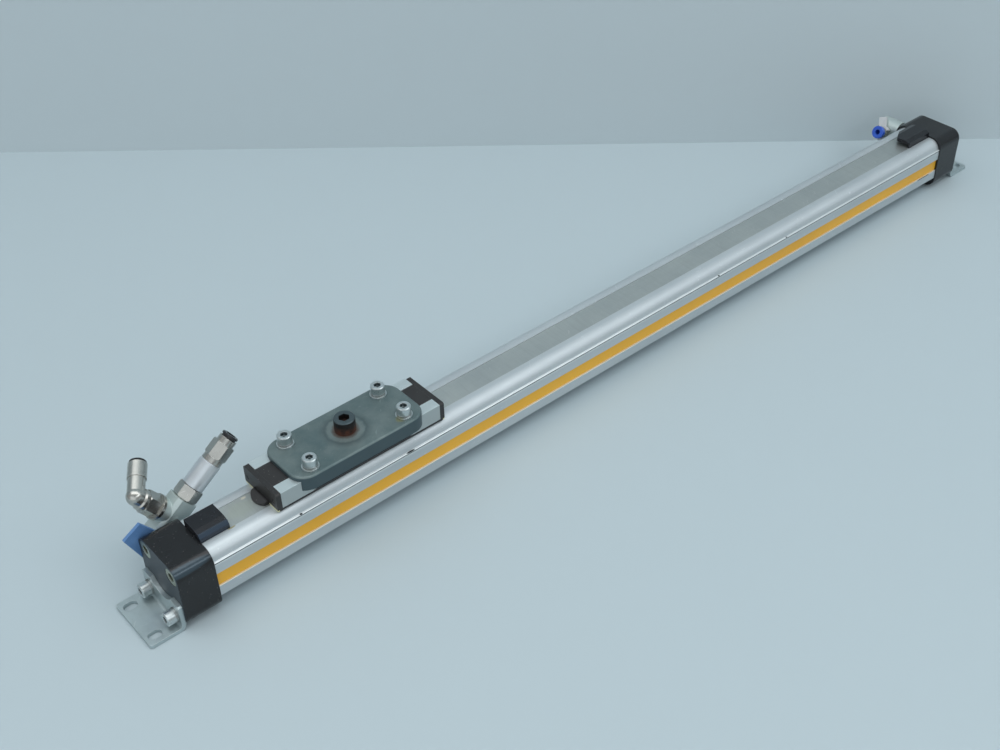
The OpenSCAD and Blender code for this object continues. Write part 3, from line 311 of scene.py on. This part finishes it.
def spot(point, size, soft=0.35, mirrored_about=None):
    """Bright inside an ellipsoid with a ragged rim. It can be mirrored about a point."""
    def mask(tree, place):
        goal = point
        if mirrored_about:
            place = away(tree, place, mirrored_about)
            place = add(tree, "VectorMath", {0: place}, operation="ABSOLUTE").outputs[0]
            goal = [abs(p - m) for p, m in zip(point, mirrored_about)]
        scaled = stretched(tree, away(tree, place, goal), [1 / s for s in size])
        far = distance(tree, scaled)
        rim = number(tree, "MULTIPLY", noise(tree, scaled, 1.7, 3.0), soft)
        ragged = number(tree, "ADD", far, rim)
        return steps(tree, ragged, (0.72, 1), (1.0, 0))
    return mask


def slab(axis, start, end, soft=0.00008):
    """A mask that is bright between two places along X, Y or Z, in metres."""
    def mask(tree, place):
        along = add(tree, "SeparateXYZ", {0: place}).outputs["XYZ".index(axis)]
        length = end - start + 2 * soft
        part = number(tree, "DIVIDE", number(tree, "SUBTRACT", along, start - soft), length)
        rim = min(0.45, 2 * soft / length)
        return steps(tree, part, (0, 0), (rim, 1), (1 - rim, 1), (1, 0))
    return mask


def both(*masks):
    def mask(tree, place):
        value = masks[0](tree, place)
        for other in masks[1:]:
            value = number(tree, "MULTIPLY", value, other(tree, place))
        return value
    return mask


print("masks ready")

# %% [markdown]
# **Extruded aluminium.** The tube is pressed through a die and then clear anodised: a satin,
# slightly bluish metal with faint lines along its whole length. Being all metal, it mostly shows
# its surroundings, so roughness matters more than colour. The carriage is milled from the same
# stock; its lines are shorter and finer.

# %% Tube and carriage body
drawn_tube = finish("drawn_tube", (0.60, 0.645, 0.665), (0.54, 0.585, 0.61), 0.65, (0.43, 0.53),
                    clouds=14, lines=(5, 1300, 1300), line_depth=5e-6, grain_depth=1e-6,
                    edge=0.00022, edge_color=(0.86, 0.88, 0.9), scratched=0.35, dusty=0.25)
wear(drawn_tube, "barrel")
milled = finish("milled_carriage", (0.64, 0.715, 0.725), (0.58, 0.655, 0.665), 0.7, (0.34, 0.44),
                clouds=60, lines=(30, 1600, 1600), line_depth=3e-6, edge=0.0002,
                edge_color=(0.88, 0.9, 0.92), scratched=0.3)
wear(milled, "carriage_body")
carriage_low, carriage_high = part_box("carriage_body")
plate_low, plate_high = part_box("saddle_plate")
plate_corner = 0.011
# Painted shade: the carriage's sides, below its top face, are painted darker than the top.
shaded_flank = slab("Z", carriage_low.z, carriage_high.z - 0.0004, 0.0002)
# Painted shadow: a near-black patch on the carriage under the saddle plate, where the plate shades
# it.
shade_under_plate = both(slab("X", plate_low.x + plate_corner, plate_high.x - plate_corner, 0.0015),
                   slab("Z", carriage_low.z, plate_low.z + 0.0002))
overlay(milled, shaded_flank, (0.42, 0.455, 0.455), 0.45, 0.85)
overlay(milled, shade_under_plate, (0.02, 0.026, 0.03), 0.6)

# %% [markdown]
# Years on a machine leave dark nicks where something struck the sharp ledge along the tube's
# shoulder. Placing them one by one along the ledge looks more natural than scattering them. Below
# the ledge a hairline groove is painted dark as shade, the ledge itself and the lip under the cover
# strip carry painted highlights, and a chip in the cover strip's lower edge is painted dark as
# shade.

# %% Nicks on the ledge
barrel_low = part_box("barrel")[0]
ledge_y, ledge_z = barrel_low.y + 0.0011, 0.0348
# Painted highlight: a bright line along the top of the ledge.
ledge_highlight = slab("Z", 0.03455, 0.0350)
# Painted shade: a dark line in the hairline groove below the ledge.
groove_shade = both(slab("Z", 0.0334, 0.03425), slab("Y", -0.0197, -0.018))
# Painted highlight: a bright line on the lip under the cover strip.
lip_highlight = both(slab("Z", 0.0170, 0.0174), slab("Y", -0.0200, -0.0186))
# Painted shade: a dark mark where the cover strip's lower edge is chipped near the far end.
strip_gap_shade = both(slab("Z", 0.0165, 0.0172), slab("X", 0.302, 0.316, 0.001))
brass_speck = spot((-0.3085, -0.0088, 0.0412), (0.0035, 0.0012, 0.0012))
nicks = ((-0.1948, 0.0042), (-0.2716, 0.0013), (0.071, 0.0012), (0.142, 0.0009))
overlay(drawn_tube, ledge_highlight, (0.88, 0.91, 0.91), 0.35, 0.7)
overlay(drawn_tube, groove_shade, (0.035, 0.055, 0.065), 0.6)
overlay(drawn_tube, lip_highlight, (0.95, 0.97, 0.97), 0.3)
overlay(drawn_tube, strip_gap_shade, (0.02, 0.025, 0.03), 0.6)
overlay(drawn_tube, brass_speck, (0.40, 0.33, 0.14), 0.5, 0.8)
for x, length in nicks:
    nick = spot((x, ledge_y - 0.0008, ledge_z), (length, 0.0012, 0.0005))
    overlay(drawn_tube, nick, (0.03, 0.035, 0.04), 0.6)
print("ledge at y", round(1000 * ledge_y, 2), "mm")

# %% [markdown]
# **Steel bands.** The outer band is rolled stainless strip, greyer and darker than the tube beside
# it, with brush lines along it and a faint cross hatch from the wiper. Oil has left greenish stains
# near the near clamp. In the exact solids the outer band carries a hump, and the inner band a dip,
# where the carriage rests. On the real machine both travel with the carriage, so each band is shown
# as two pieces: a flat strip that lies still, and an arch or a dip that rides the carriage. Where
# they pass each other they are hidden under the carriage.

# %% Flat band and travelling arch
rolled = finish("rolled_band", (0.49, 0.525, 0.51), (0.42, 0.455, 0.455), 0.75, (0.36, 0.48),
                clouds=22, lines=(8, 1500, 1500), line_depth=5e-6, edge=0.0001,
                edge_color=(0.62, 0.63, 0.62), scratched=0.5, dusty=0.3)
oil_stain = spot((-0.297, 0.0, 0.041), (0.016, 0.010, 0.004), 0.6)
pale_chip = spot((-0.2916, 0.0066, 0.041), (0.0026, 0.0014, 0.004), 0.5)


def cross_hatch(tree, place):
    marks = noise(tree, stretched(tree, place, (900, 60, 60)), 1, 3, 0.6)
    return steps(tree, marks, (0.45, 0), (0.8, 1))


overlay(rolled, cross_hatch, (0.34, 0.35, 0.35), 0.5, 0.3)
overlay(rolled, oil_stain, (0.47, 0.51, 0.43), 0.5, 0.4)
overlay(rolled, pale_chip, (0.72, 0.68, 0.58), 0.55)
crown = 0.00004
long_parts, short_parts, cross_parts = 160, 60, 4


def strip(name, ends, half_width, gauge, top, body, parts):
    """A thin strip along X between two ends. Its upper face follows top(x), crowned across."""
    mesh = bmesh.new()
    bmesh.ops.create_grid(mesh, x_segments=parts, y_segments=cross_parts, size=0.5)
    bmesh.ops.scale(mesh, vec=(ends[1] - ends[0], 2 * half_width, 1), verts=mesh.verts)
    bmesh.ops.translate(mesh, vec=((ends[0] + ends[1]) / 2, 0, 0), verts=mesh.verts)
    for vert in mesh.verts:
        vert.co.z = top(vert.co.x) - crown * (vert.co.y / half_width) ** 2
    bmesh.ops.solidify(mesh, geom=mesh.faces[:], thickness=gauge)
    bmesh.ops.recalc_face_normals(mesh, faces=mesh.faces)
    data = bpy.data.meshes.new(name)
    mesh.to_mesh(data)
    mesh.free()
    piece = bpy.data.objects.new(name, data)
    bpy.context.scene.collection.objects.link(piece)
    piece.data.materials.append(rolled)
    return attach(piece, body)


def swell(x, half_flat, run):
    """0 outside, 1 in the middle, with an S-shaped rise of length run on each side."""
    part = min(1, max(0, (half_flat + run - abs(x - middle)) / run))
    return part * part * (3 - 2 * part)


carriage_low, carriage_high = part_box("carriage_body")
middle = (carriage_low.x + carriage_high.x) / 2
band_low, band_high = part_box("outer_band")
gauge, arch_gap = 0.0003, 0.00006
flat_top = band_low.z + gauge
arch_flat, arch_run, arch_foot = 0.030, 0.015, flat_top + gauge + arch_gap
arch_rise = band_high.z - arch_foot
flat_band = strip("flat_band", (band_low.x, band_high.x), band_high.y, gauge,
                  lambda x: flat_top, "cylinder", long_parts)
strip("band_arch", (middle - arch_flat - arch_run, middle + arch_flat + arch_run),
      band_high.y, gauge, lambda x: arch_foot + arch_rise * swell(x, arch_flat, arch_run),
      "carriage", short_parts)
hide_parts("outer_band")

inner_low, inner_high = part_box("inner_band")
inner_gauge, dip_gap = 0.0004, 0.00005
dip_flat, dip_run, dip_rim = 0.028, 0.013, inner_high.z - inner_gauge - dip_gap
dip_depth = dip_rim - inner_low.z - inner_gauge
flat_inner_band = strip("flat_inner_band", (inner_low.x, inner_high.x), inner_high.y, inner_gauge,
                        lambda x: inner_high.z, "cylinder", long_parts)
strip("inner_band_dip", (middle - dip_flat - dip_run, middle + dip_flat + dip_run),
      inner_high.y, inner_gauge, lambda x: dip_rim - dip_depth * swell(x, dip_flat, dip_run),
      "carriage", short_parts)
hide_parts("inner_band")
print("outer band from", round(1000 * band_low.x, 1), "to", round(1000 * band_high.x, 1),
      "mm, top at", round(1000 * flat_top, 2))

# %% [markdown]
# ** Yellow cover strip.** A plastic strip snaps into the side groove. It is the one saturated colour
# on the machine, slightly glossy, a little paler where it was rubbed, and darker towards its lower
# edge.

# %% Cover strip
cover_strip = finish("yellow_strip", (0.92, 0.475, 0.028), (0.84, 0.42, 0.024), 0.0, (0.34, 0.46),
                     clouds=10, lines=(4, 700, 700), line_depth=3e-6, edge=0.00015,
                     edge_color=(0.8, 0.5, 0.1), dusty=0.4)
wear(cover_strip, "side_strip")
strip_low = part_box("side_strip")[0]


def lower_corner(tree, place):
    above = number(tree, "SUBTRACT", height_of(tree, place), strip_low.z)
    in_mm = number(tree, "MULTIPLY", above, 1000.0)
    return steps(tree, in_mm, (0.1, 1), (0.9, 0))


overlay(cover_strip, lower_corner, (0.25, 0.13, 0.02), 0.6, 0.5)

# %% [markdown]
# ** Black parts.** The caps are black anodised aluminium: nearly black, half glossy, a trace of
# warmth, with edges rubbed a little lighter. The near cap's outer face has a painted bluish
# reflection and its upper front edge a painted highlight. The band clamps are anodised too, but
# glossier and bluish, and the near clamp's front facet has a painted bluish highlight. The end
# plates and covers of the carriage are moulded plastic, duller, with a fine grain instead of
# machining marks.

# %% Caps, clamps and black plastic
cap_black = finish("cap_black", (0.0135, 0.0140, 0.0160), (0.019, 0.0195, 0.021), 0.3, (0.17, 0.25),
                   clouds=30, grain=3500, grain_depth=5e-6, edge=0.0004,
                   edge_color=(0.06, 0.065, 0.075), edge_amount=0.6, scratched=0.25, dusty=0.35)
wear(cap_black, "near_cap far_cap")
cap_low, cap_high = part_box("near_cap")
# Painted reflection: the near cap's outer end face is tinted bluish, as if reflecting the sky.
face_sky_reflection = slab("X", cap_low.x - 0.001, cap_low.x + 0.0001)
# Painted highlight: a bluish streak along the near cap's upper front edge.
upper_edge_highlight = spot((cap_low.x + 0.006, cap_low.y + 0.0024, cap_high.z - 0.0024),
                  (0.021, 0.0036, 0.0036), 0.15)
overlay(cap_black, face_sky_reflection, (0.024, 0.034, 0.046), 0.42)
overlay(cap_black, upper_edge_highlight, (0.06, 0.10, 0.13), 0.2, 0.6)
clamp_black = finish("clamp_black", (0.012, 0.0135, 0.018), (0.018, 0.0185, 0.021), 0.3,
                     (0.16, 0.26), clouds=60, grain_depth=2e-6, edge=0.0002,
                     edge_color=(0.08, 0.09, 0.13), scratched=0.3, dusty=0.3)
wear(clamp_black, "near_clamp far_clamp")
clamp_low, clamp_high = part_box("near_clamp")
# Painted highlight: a bluish band along the near clamp's front facet.
front_facet_highlight = both(slab("X", clamp_low.x, clamp_high.x),
                   slab("Y", clamp_low.y, clamp_low.y + 0.0022, 0.0004),
                   slab("Z", clamp_low.z + 0.0028, clamp_high.z - 0.0006, 0.0006))
overlay(clamp_black, front_facet_highlight, (0.030, 0.055, 0.088), 0.3, 0.8)
plastic = finish("black_plastic", (0.017, 0.0155, 0.016), (0.024, 0.022, 0.022), 0.0, (0.36, 0.48),
                 clouds=80, grain=5000, grain_depth=6e-6, edge=0.0002,
                 edge_color=(0.06, 0.06, 0.06), scratched=0.3, dusty=0.45)
wear(plastic, "carriage_cover near_end_plate far_end_plate wiper_tongues side_glides")

# %% [markdown]
# **Saddle plate.** A phosphated steel plate, dull blue grey. A part has been clamped round the
# centre screw and has rubbed rings into it: a pale one close to the head and a darker, wider one
# outside. The rings are the distance from the screw's axis, fed through a ramp. Below the head
# there is brown rust, and one screw has leaked yellow oil.

# %% Saddle plate
plate_grey = finish("phosphated_plate", (0.092, 0.140, 0.146), (0.165, 0.212, 0.210), 0.35,
                    (0.34, 0.50), clouds=55, lines=(60, 60, 900), line_depth=1e-6, grain=1800,
                    grain_depth=5e-6, edge=0.0003, edge_color=(0.34, 0.40, 0.40), edge_amount=0.9,
                    scratched=0.25, dusty=0.3)
wear(plate_grey, "saddle_plate")
plate_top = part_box("saddle_plate")[1]
# Painted shade: the saddle plate's sides, below its top face, are painted darker than the top.
plate_side_shade = slab("Z", 0, plate_top.z - 0.0009, 0.0001)
overlay(plate_grey, plate_side_shade, (0.050, 0.080, 0.094), 0.45, 0.9)
driver_low, driver_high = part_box("driver_screw")
axis = ((driver_low.x + driver_high.x) / 2, (driver_low.y + driver_high.y) / 2)
ring_reach = 40.0


def ring_mask(*stops):
    """Brightness by distance from the centre screw, in millimetres, wobbled a little."""
    def mask(tree, place):
        in_mm = stretched(tree, away(tree, place, (*axis, 0)), (1000, 1000, 0))
        far = distance(tree, in_mm)
        wobble = number(tree, "MULTIPLY", noise(tree, place, 260.0, 3.0), 2.6)
        part = number(tree, "DIVIDE", number(tree, "ADD", far, wobble), ring_reach)
        return steps(tree, part, *[(mm / ring_reach, level) for mm, level in stops])
    return mask


pale_ring = ring_mask((8.6, 0), (10.0, 1), (11.6, 0.5), (12.4, 0))
dark_ring = ring_mask((12.0, 0), (13.3, 1), (14.8, 0.5), (17.5, 0))
rusty_middle = ring_mask((7.5, 1), (8.5, 0.7), (9.8, 0))
overlay(plate_grey, pale_ring, (0.22, 0.265, 0.262), 0.40, 0.55)
overlay(plate_grey, dark_ring, (0.060, 0.088, 0.094), 0.48, 0.7)
overlay(plate_grey, rusty_middle, (0.12, 0.075, 0.055), 0.6, 0.8)
oil_place, oil = (-0.1963, -0.0138, plate_top.z + 0.0005), (0.26, 0.245, 0.075)
overlay(plate_grey, spot(oil_place, (0.0048, 0.0042, 0.003), 0.5), oil, 0.3, 0.5)
print("rings round", [round(1000 * v, 1) for v in axis])

# %% [markdown]
# **Screws.** Socket screws in this size are zinc plated: bright, a little bluish, with the faint
# rainbow of the passivation. Spring washers are duller. The centre screw is black oxide gone brown,
# on a rusty washer.

# %% Screws and washers
zinc = finish("bright_zinc", (0.60, 0.65, 0.67), (0.52, 0.57, 0.56), 0.9, (0.24, 0.34), clouds=220,
              grain=2200, grain_depth=4e-6, edge=0.00025, edge_color=(0.86, 0.88, 0.9),
              scratched=0.3)
wear(zinc, "foot_screws plate_screws plate_flat_washers")
spring_zinc = finish("spring_zinc", (0.42, 0.44, 0.44), (0.34, 0.35, 0.34), 0.95, (0.28, 0.4),
                     clouds=240, grain_depth=5e-6, edge=0.00015)
wear(spring_zinc, "foot_spring_washers plate_spring_washers")
for metal in (zinc, spring_zinc):
    overlay(metal, spot(oil_place, (0.0050, 0.0042, 0.0020), 0.5), oil, 0.35, 0.4)
head_radius, socket_depth, socket_wide, socket_deep = 0.00425, 0.0017, 0.0029, 0.0018
# Painted shade: the hex sockets of the zinc screws are painted dark inside.
socket_shade = (0.05, 0.08, 0.09)
screws_low, screws_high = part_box("plate_screws")
centre = ((screws_low.x + screws_high.x) / 2, 0, 0)
plate_socket_shade = spot((screws_low.x + head_radius, screws_low.y + head_radius,
                      screws_high.z - socket_depth), (socket_wide, socket_wide, socket_deep), 0.1,
                     centre)
overlay(zinc, plate_socket_shade, socket_shade, 0.45)
screws_low, screws_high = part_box("foot_screws")
foot_socket_shade = spot((screws_high.x - socket_depth, screws_high.y - head_radius,
                     (screws_low.z + screws_high.z) / 2), (socket_deep, socket_wide, socket_wide),
                    0.1, (0, 0, 0))
overlay(zinc, foot_socket_shade, socket_shade, 0.45)
black_oxide = finish("black_oxide", (0.022, 0.020, 0.021), (0.034, 0.028, 0.026), 0.6, (0.34, 0.5),
                     clouds=260, grain=2600, grain_depth=8e-6, edge=0.0003,
                     edge_color=(0.10, 0.10, 0.11), edge_amount=0.7)
wear(black_oxide, "driver_screw")
rust = finish("rusty_washer", (0.12, 0.045, 0.028), (0.055, 0.026, 0.018), 0.2, (0.6, 0.8),
              clouds=420, grain=1800, grain_depth=3e-5, edge=0.0002, edge_color=(0.14, 0.07, 0.03))
wear(rust, "driver_washer")


def climbing_rust(tree, place):
    above = number(tree, "SUBTRACT", height_of(tree, place), plate_top.z)
    fading = steps(tree, number(tree, "MULTIPLY", above, 100.0), (0.25, 1), (0.62, 0))
    blots = steps(tree, noise(tree, place, 300.0, 4.0), (0.35, 0.2), (0.6, 1))
    return number(tree, "MULTIPLY", fading, blots)


driver_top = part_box("driver_screw")[1].z
# Painted highlight: the top of the centre screw's head is painted a lighter teal grey, as if lit
# from above.
lit_head_top = slab("Z", driver_top - 0.0006, driver_top + 0.001, 0.0002)
overlay(black_oxide, climbing_rust, (0.15, 0.058, 0.036), 0.7, 0.9)
overlay(black_oxide, lit_head_top, (0.085, 0.120, 0.133), 0.35, 0.8)
sleeve_zinc = finish("sleeve_screw", (0.40, 0.43, 0.35), (0.33, 0.35, 0.29), 0.9, (0.3, 0.42),
                     clouds=260, grain_depth=5e-6, edge=0.0002, edge_color=(0.6, 0.63, 0.55))
wear(sleeve_zinc, "near_sleeve_screws far_sleeve_screws")

# %% [markdown]
# **Feet.** Folded from sheet and zinc plated, with a greenish grey passivation that has gone
# cloudy. The folded sheet keeps rolling lines, and its cut edges are a little brighter.

# %% Feet
foot_zinc = finish("foot_zinc", (0.50, 0.575, 0.59), (0.42, 0.49, 0.50), 0.7, (0.28, 0.42),
                   clouds=70, lines=(500, 20, 500), line_depth=2e-6, grain=900, grain_depth=5e-6,
                   edge=0.0003, edge_color=(0.66, 0.71, 0.7), scratched=0.6, dusty=0.4)
wear(foot_zinc, "near_foot far_foot")

# %% [markdown]
# ** Fittings.** The air fittings are nickel plated brass: warm grey and glossy. The valve block is
# blasted and satin. Its bright sleeve would carry a printed label; it is left bare. The release
# rings are glossy plastic, black or blue. The lever behind the cap is blue plastic, a bit dull from
# handling.

# %% Fittings
nickel = finish("nickel", (0.50, 0.49, 0.455), (0.42, 0.415, 0.39), 1.0, (0.22, 0.30), clouds=90,
                grain=1500, grain_depth=1e-6, edge=0.00025, edge_color=(0.78, 0.77, 0.74),
                scratched=0.3)
wear(nickel,
     "port_spacer port_bolt valve_hex valve_head elbow_stem elbow_body far_port_bolt far_arm")
frosted = finish("blasted_block", (0.57, 0.65, 0.64), (0.51, 0.585, 0.57), 0.6, (0.36, 0.5),
                 clouds=120, grain=2600, grain_depth=1e-5, edge=0.0003,
                 edge_color=(0.7, 0.75, 0.73), dusty=0.3)
wear(frosted, "valve_block far_block")
bare_sleeve = finish("bare_sleeve", (0.66, 0.70, 0.73), (0.60, 0.64, 0.67), 0.7, (0.28, 0.38),
                     clouds=90, grain=2200, grain_depth=3e-6, edge=0.00025,
                     edge_color=(0.84, 0.86, 0.9), scratched=0.4)
wear(bare_sleeve, "valve_sleeve")
ring_black = finish("ring_black", (0.014, 0.014, 0.017), (0.02, 0.02, 0.022), 0.0, (0.2, 0.3),
                    clouds=200, grain_depth=2e-6, edge=0.0003, edge_color=(0.06, 0.06, 0.07))
wear(ring_black, "valve_collet elbow_collet")
ring_blue = finish("ring_blue", (0.035, 0.125, 0.62), (0.03, 0.10, 0.52), 0.0, (0.25, 0.35),
                   clouds=200, grain_depth=2e-6, edge=0.0003, edge_color=(0.16, 0.3, 0.8))
wear(ring_blue, "far_collet")
lever_blue = finish("lever_blue", (0.13, 0.265, 0.52), (0.105, 0.225, 0.45), 0.0, (0.36, 0.48),
                    clouds=120, grain=3000, grain_depth=5e-6, edge=0.0003,
                    edge_color=(0.18, 0.33, 0.66), scratched=0.4, dusty=0.3)
wear(lever_blue, "shutoff_lever")
tag_white = finish("tag_white", (0.66, 0.67, 0.68), (0.6, 0.61, 0.61), 0.0, (0.4, 0.5), clouds=200,
                   grain_depth=3e-6, edge=0.0002, dusty=0.3)
wear(tag_white, "far_tag")

# %% [markdown]
# **Inside and trim.** Most of these pieces only show when the carriage is at an end of its travel
# or the tube is opened, but each gets its own finish: felt, bearing plastic, polyurethane seals,
# brass bushes and magnets.

# %% Inner pieces
felt = finish("oiled_felt", (0.74, 0.72, 0.42), (0.62, 0.59, 0.32), 0.0, (0.85, 0.95), clouds=600,
              grain=1400, grain_depth=6e-5, edge=0.0001)
felt.node_tree.nodes["Principled BSDF"].inputs["Sheen Weight"].default_value = 0.4
wear(felt, "felt_scrapers")
yoke_steel = finish("turned_yoke", (0.58, 0.60, 0.63), (0.52, 0.54, 0.57), 0.95, (0.3, 0.4),
                    lines=(900, 20, 20))
wear(yoke_steel, "yoke")
for name, color, tone, metallic, rough, worn_by in (
        ("acetal", (0.33, 0.34, 0.36), (0.29, 0.30, 0.32), 0.0, (0.4, 0.5),
         "near_piston far_piston"),
        ("seal_blue", (0.02, 0.03, 0.09), (0.025, 0.035, 0.08), 0.0, (0.3, 0.4), "piston_seals"),
        ("bearing", (0.62, 0.58, 0.46), (0.56, 0.52, 0.41), 0.0, (0.45, 0.55), "guide_rings"),
        ("magnet", (0.03, 0.03, 0.03), (0.04, 0.04, 0.04), 0.4, (0.5, 0.6), "piston_magnets"),
        ("nitrile", (0.014, 0.014, 0.015), (0.02, 0.02, 0.02), 0.0, (0.5, 0.6),
         "near_cap_ring far_cap_ring")):
    wear(finish(name, color, tone, metallic, rough), worn_by)
brass = finish("brass", (0.60, 0.42, 0.16), (0.52, 0.35, 0.13), 1.0, (0.22, 0.34), clouds=200)
wear(brass, "near_cushion_bush far_cushion_bush near_cushion_screw far_cushion_screw")

# %% [markdown]
# **Stage.** The cylinder stands on a plain table against a plain wall. Both are pale. A large soft
# lamp overhead gives the bright line along the rounded edges, a weaker one fills from the camera's
# side, and the world is an even grey. Levels are kept low enough that a surface renders about as
# its colour is written.

# %% Floor, wall and light
sheet_reach = 4


def plain(name, color, rough):
    material = bpy.data.materials.new(name)
    material.use_nodes = True
    tree = material.node_tree
    place = tree.nodes.new("ShaderNodeTexCoord").outputs["Object"]
    tone = [0.97 * c for c in color]
    fill(tree, tree.nodes["Principled BSDF"], {"Roughness": rough, "Base Color": blend(
        tree, noise(tree, place, 3.0, 3.0), (*color, 1), (*tone, 1))})
    return material


def flat_sheet(name, middle, along, across, material):
    """A square sheet, sheet_reach from its middle to each edge, in the two directions given."""
    mesh = bmesh.new()
    bmesh.ops.create_grid(mesh, x_segments=1, y_segments=1, size=sheet_reach)
    turn = Matrix((along, across, along.cross(across))).transposed().to_4x4()
    bmesh.ops.transform(mesh, matrix=Matrix.Translation(middle) @ turn, verts=mesh.verts)
    data = bpy.data.meshes.new(name)
    mesh.to_mesh(data)
    mesh.free()
    thing = bpy.data.objects.new(name, data)
    thing.data.materials.append(material)
    bpy.context.scene.collection.objects.link(thing)
    return thing


floor_gap = 0.0001
floor_z = cad_low.z - floor_gap
flat_sheet("floor", Vector((0, 0, floor_z)), Vector((1, 0, 0)), Vector((0, 1, 0)),
           plain("floor_paint", (0.50, 0.585, 0.62), 0.5))
foot_of_wall = Vector((0.1139, 0.2705, floor_z))
run = Vector((0.7527, -0.6583, 0)).normalized()
flat_sheet("wall", foot_of_wall + Vector((0, 0, sheet_reach)), run, Vector((0, 0, 1)),
           plain("wall_paint", (0.58, 0.655, 0.685), 0.6))
print("floor at", round(1000 * floor_z, 2), "mm, wall along", [round(v, 2) for v in run])


def soft_lamp(name, place, aim, size, power, color):
    lamp = bpy.data.lights.new(name, "AREA")
    lamp.shape, lamp.size, lamp.size_y = "RECTANGLE", size[0], size[1]
    lamp.energy, lamp.color = power, color
    thing = bpy.data.objects.new(name, lamp)
    thing.location = place
    thing.rotation_euler = (Vector(aim) - Vector(place)).to_track_quat("-Z", "Y").to_euler()
    bpy.context.scene.collection.objects.link(thing)


soft_lamp("overhead", (0.25, 0.35, 1.7), (0, 0, 0), (3.4, 2.4), 48, (0.97, 0.99, 1.0))
soft_lamp("left_fill", (-1.8, -1.0, 0.8), (0, 0, 0), (2.4, 1.4), 7, (0.88, 0.95, 1.0))
soft_lamp("front_strip", (0.5, -1.7, 1.5), (0, 0, 0), (2.6, 0.45), 9, (0.90, 0.96, 1.0))
world = bpy.data.worlds.new("even_grey")
world.use_nodes = True
sky = world.node_tree.nodes["Background"].inputs
sky[0].default_value, sky[1].default_value = (0.86, 0.92, 0.95, 1), 0.46
bpy.context.scene.world = world
bpy.context.scene.view_settings.view_transform = "Standard"

# %% [markdown]
# **Camera.** The view looks down along the tube from above the near end, so the tube runs away to
# the upper right. A long-ish lens keeps the perspective of a camera held at arm's length. Its
# matrix is built from three directions: right, up and the opposite of the view.

# %% Camera
camera = bpy.data.cameras.new("camera")
camera.lens, camera.sensor_width = 47.69, 36.0
camera.clip_start, camera.clip_end = 0.01, 20
thing = bpy.data.objects.new("camera", camera)
eye = (-0.5212, -0.4931, 0.5533)
yaw, pitch, roll = (math.radians(a) for a in (50.131, 38.954, -1.446))
forward = Vector((math.cos(yaw) * math.cos(pitch), math.sin(yaw) * math.cos(pitch),
                  -math.sin(pitch)))
side = forward.cross(Vector((0, 0, 1))).normalized()
up = side.cross(forward)
side, up = (math.cos(roll) * side + math.sin(roll) * up,
            math.cos(roll) * up - math.sin(roll) * side)
turn = Matrix((side, up, -forward)).transposed().to_4x4()
thing.matrix_world = Matrix.Translation(eye) @ turn
bpy.context.scene.collection.objects.link(thing)
bpy.context.scene.camera = thing
print("camera", [round(v, 3) for v in thing.matrix_world.translation], "lens", camera.lens)
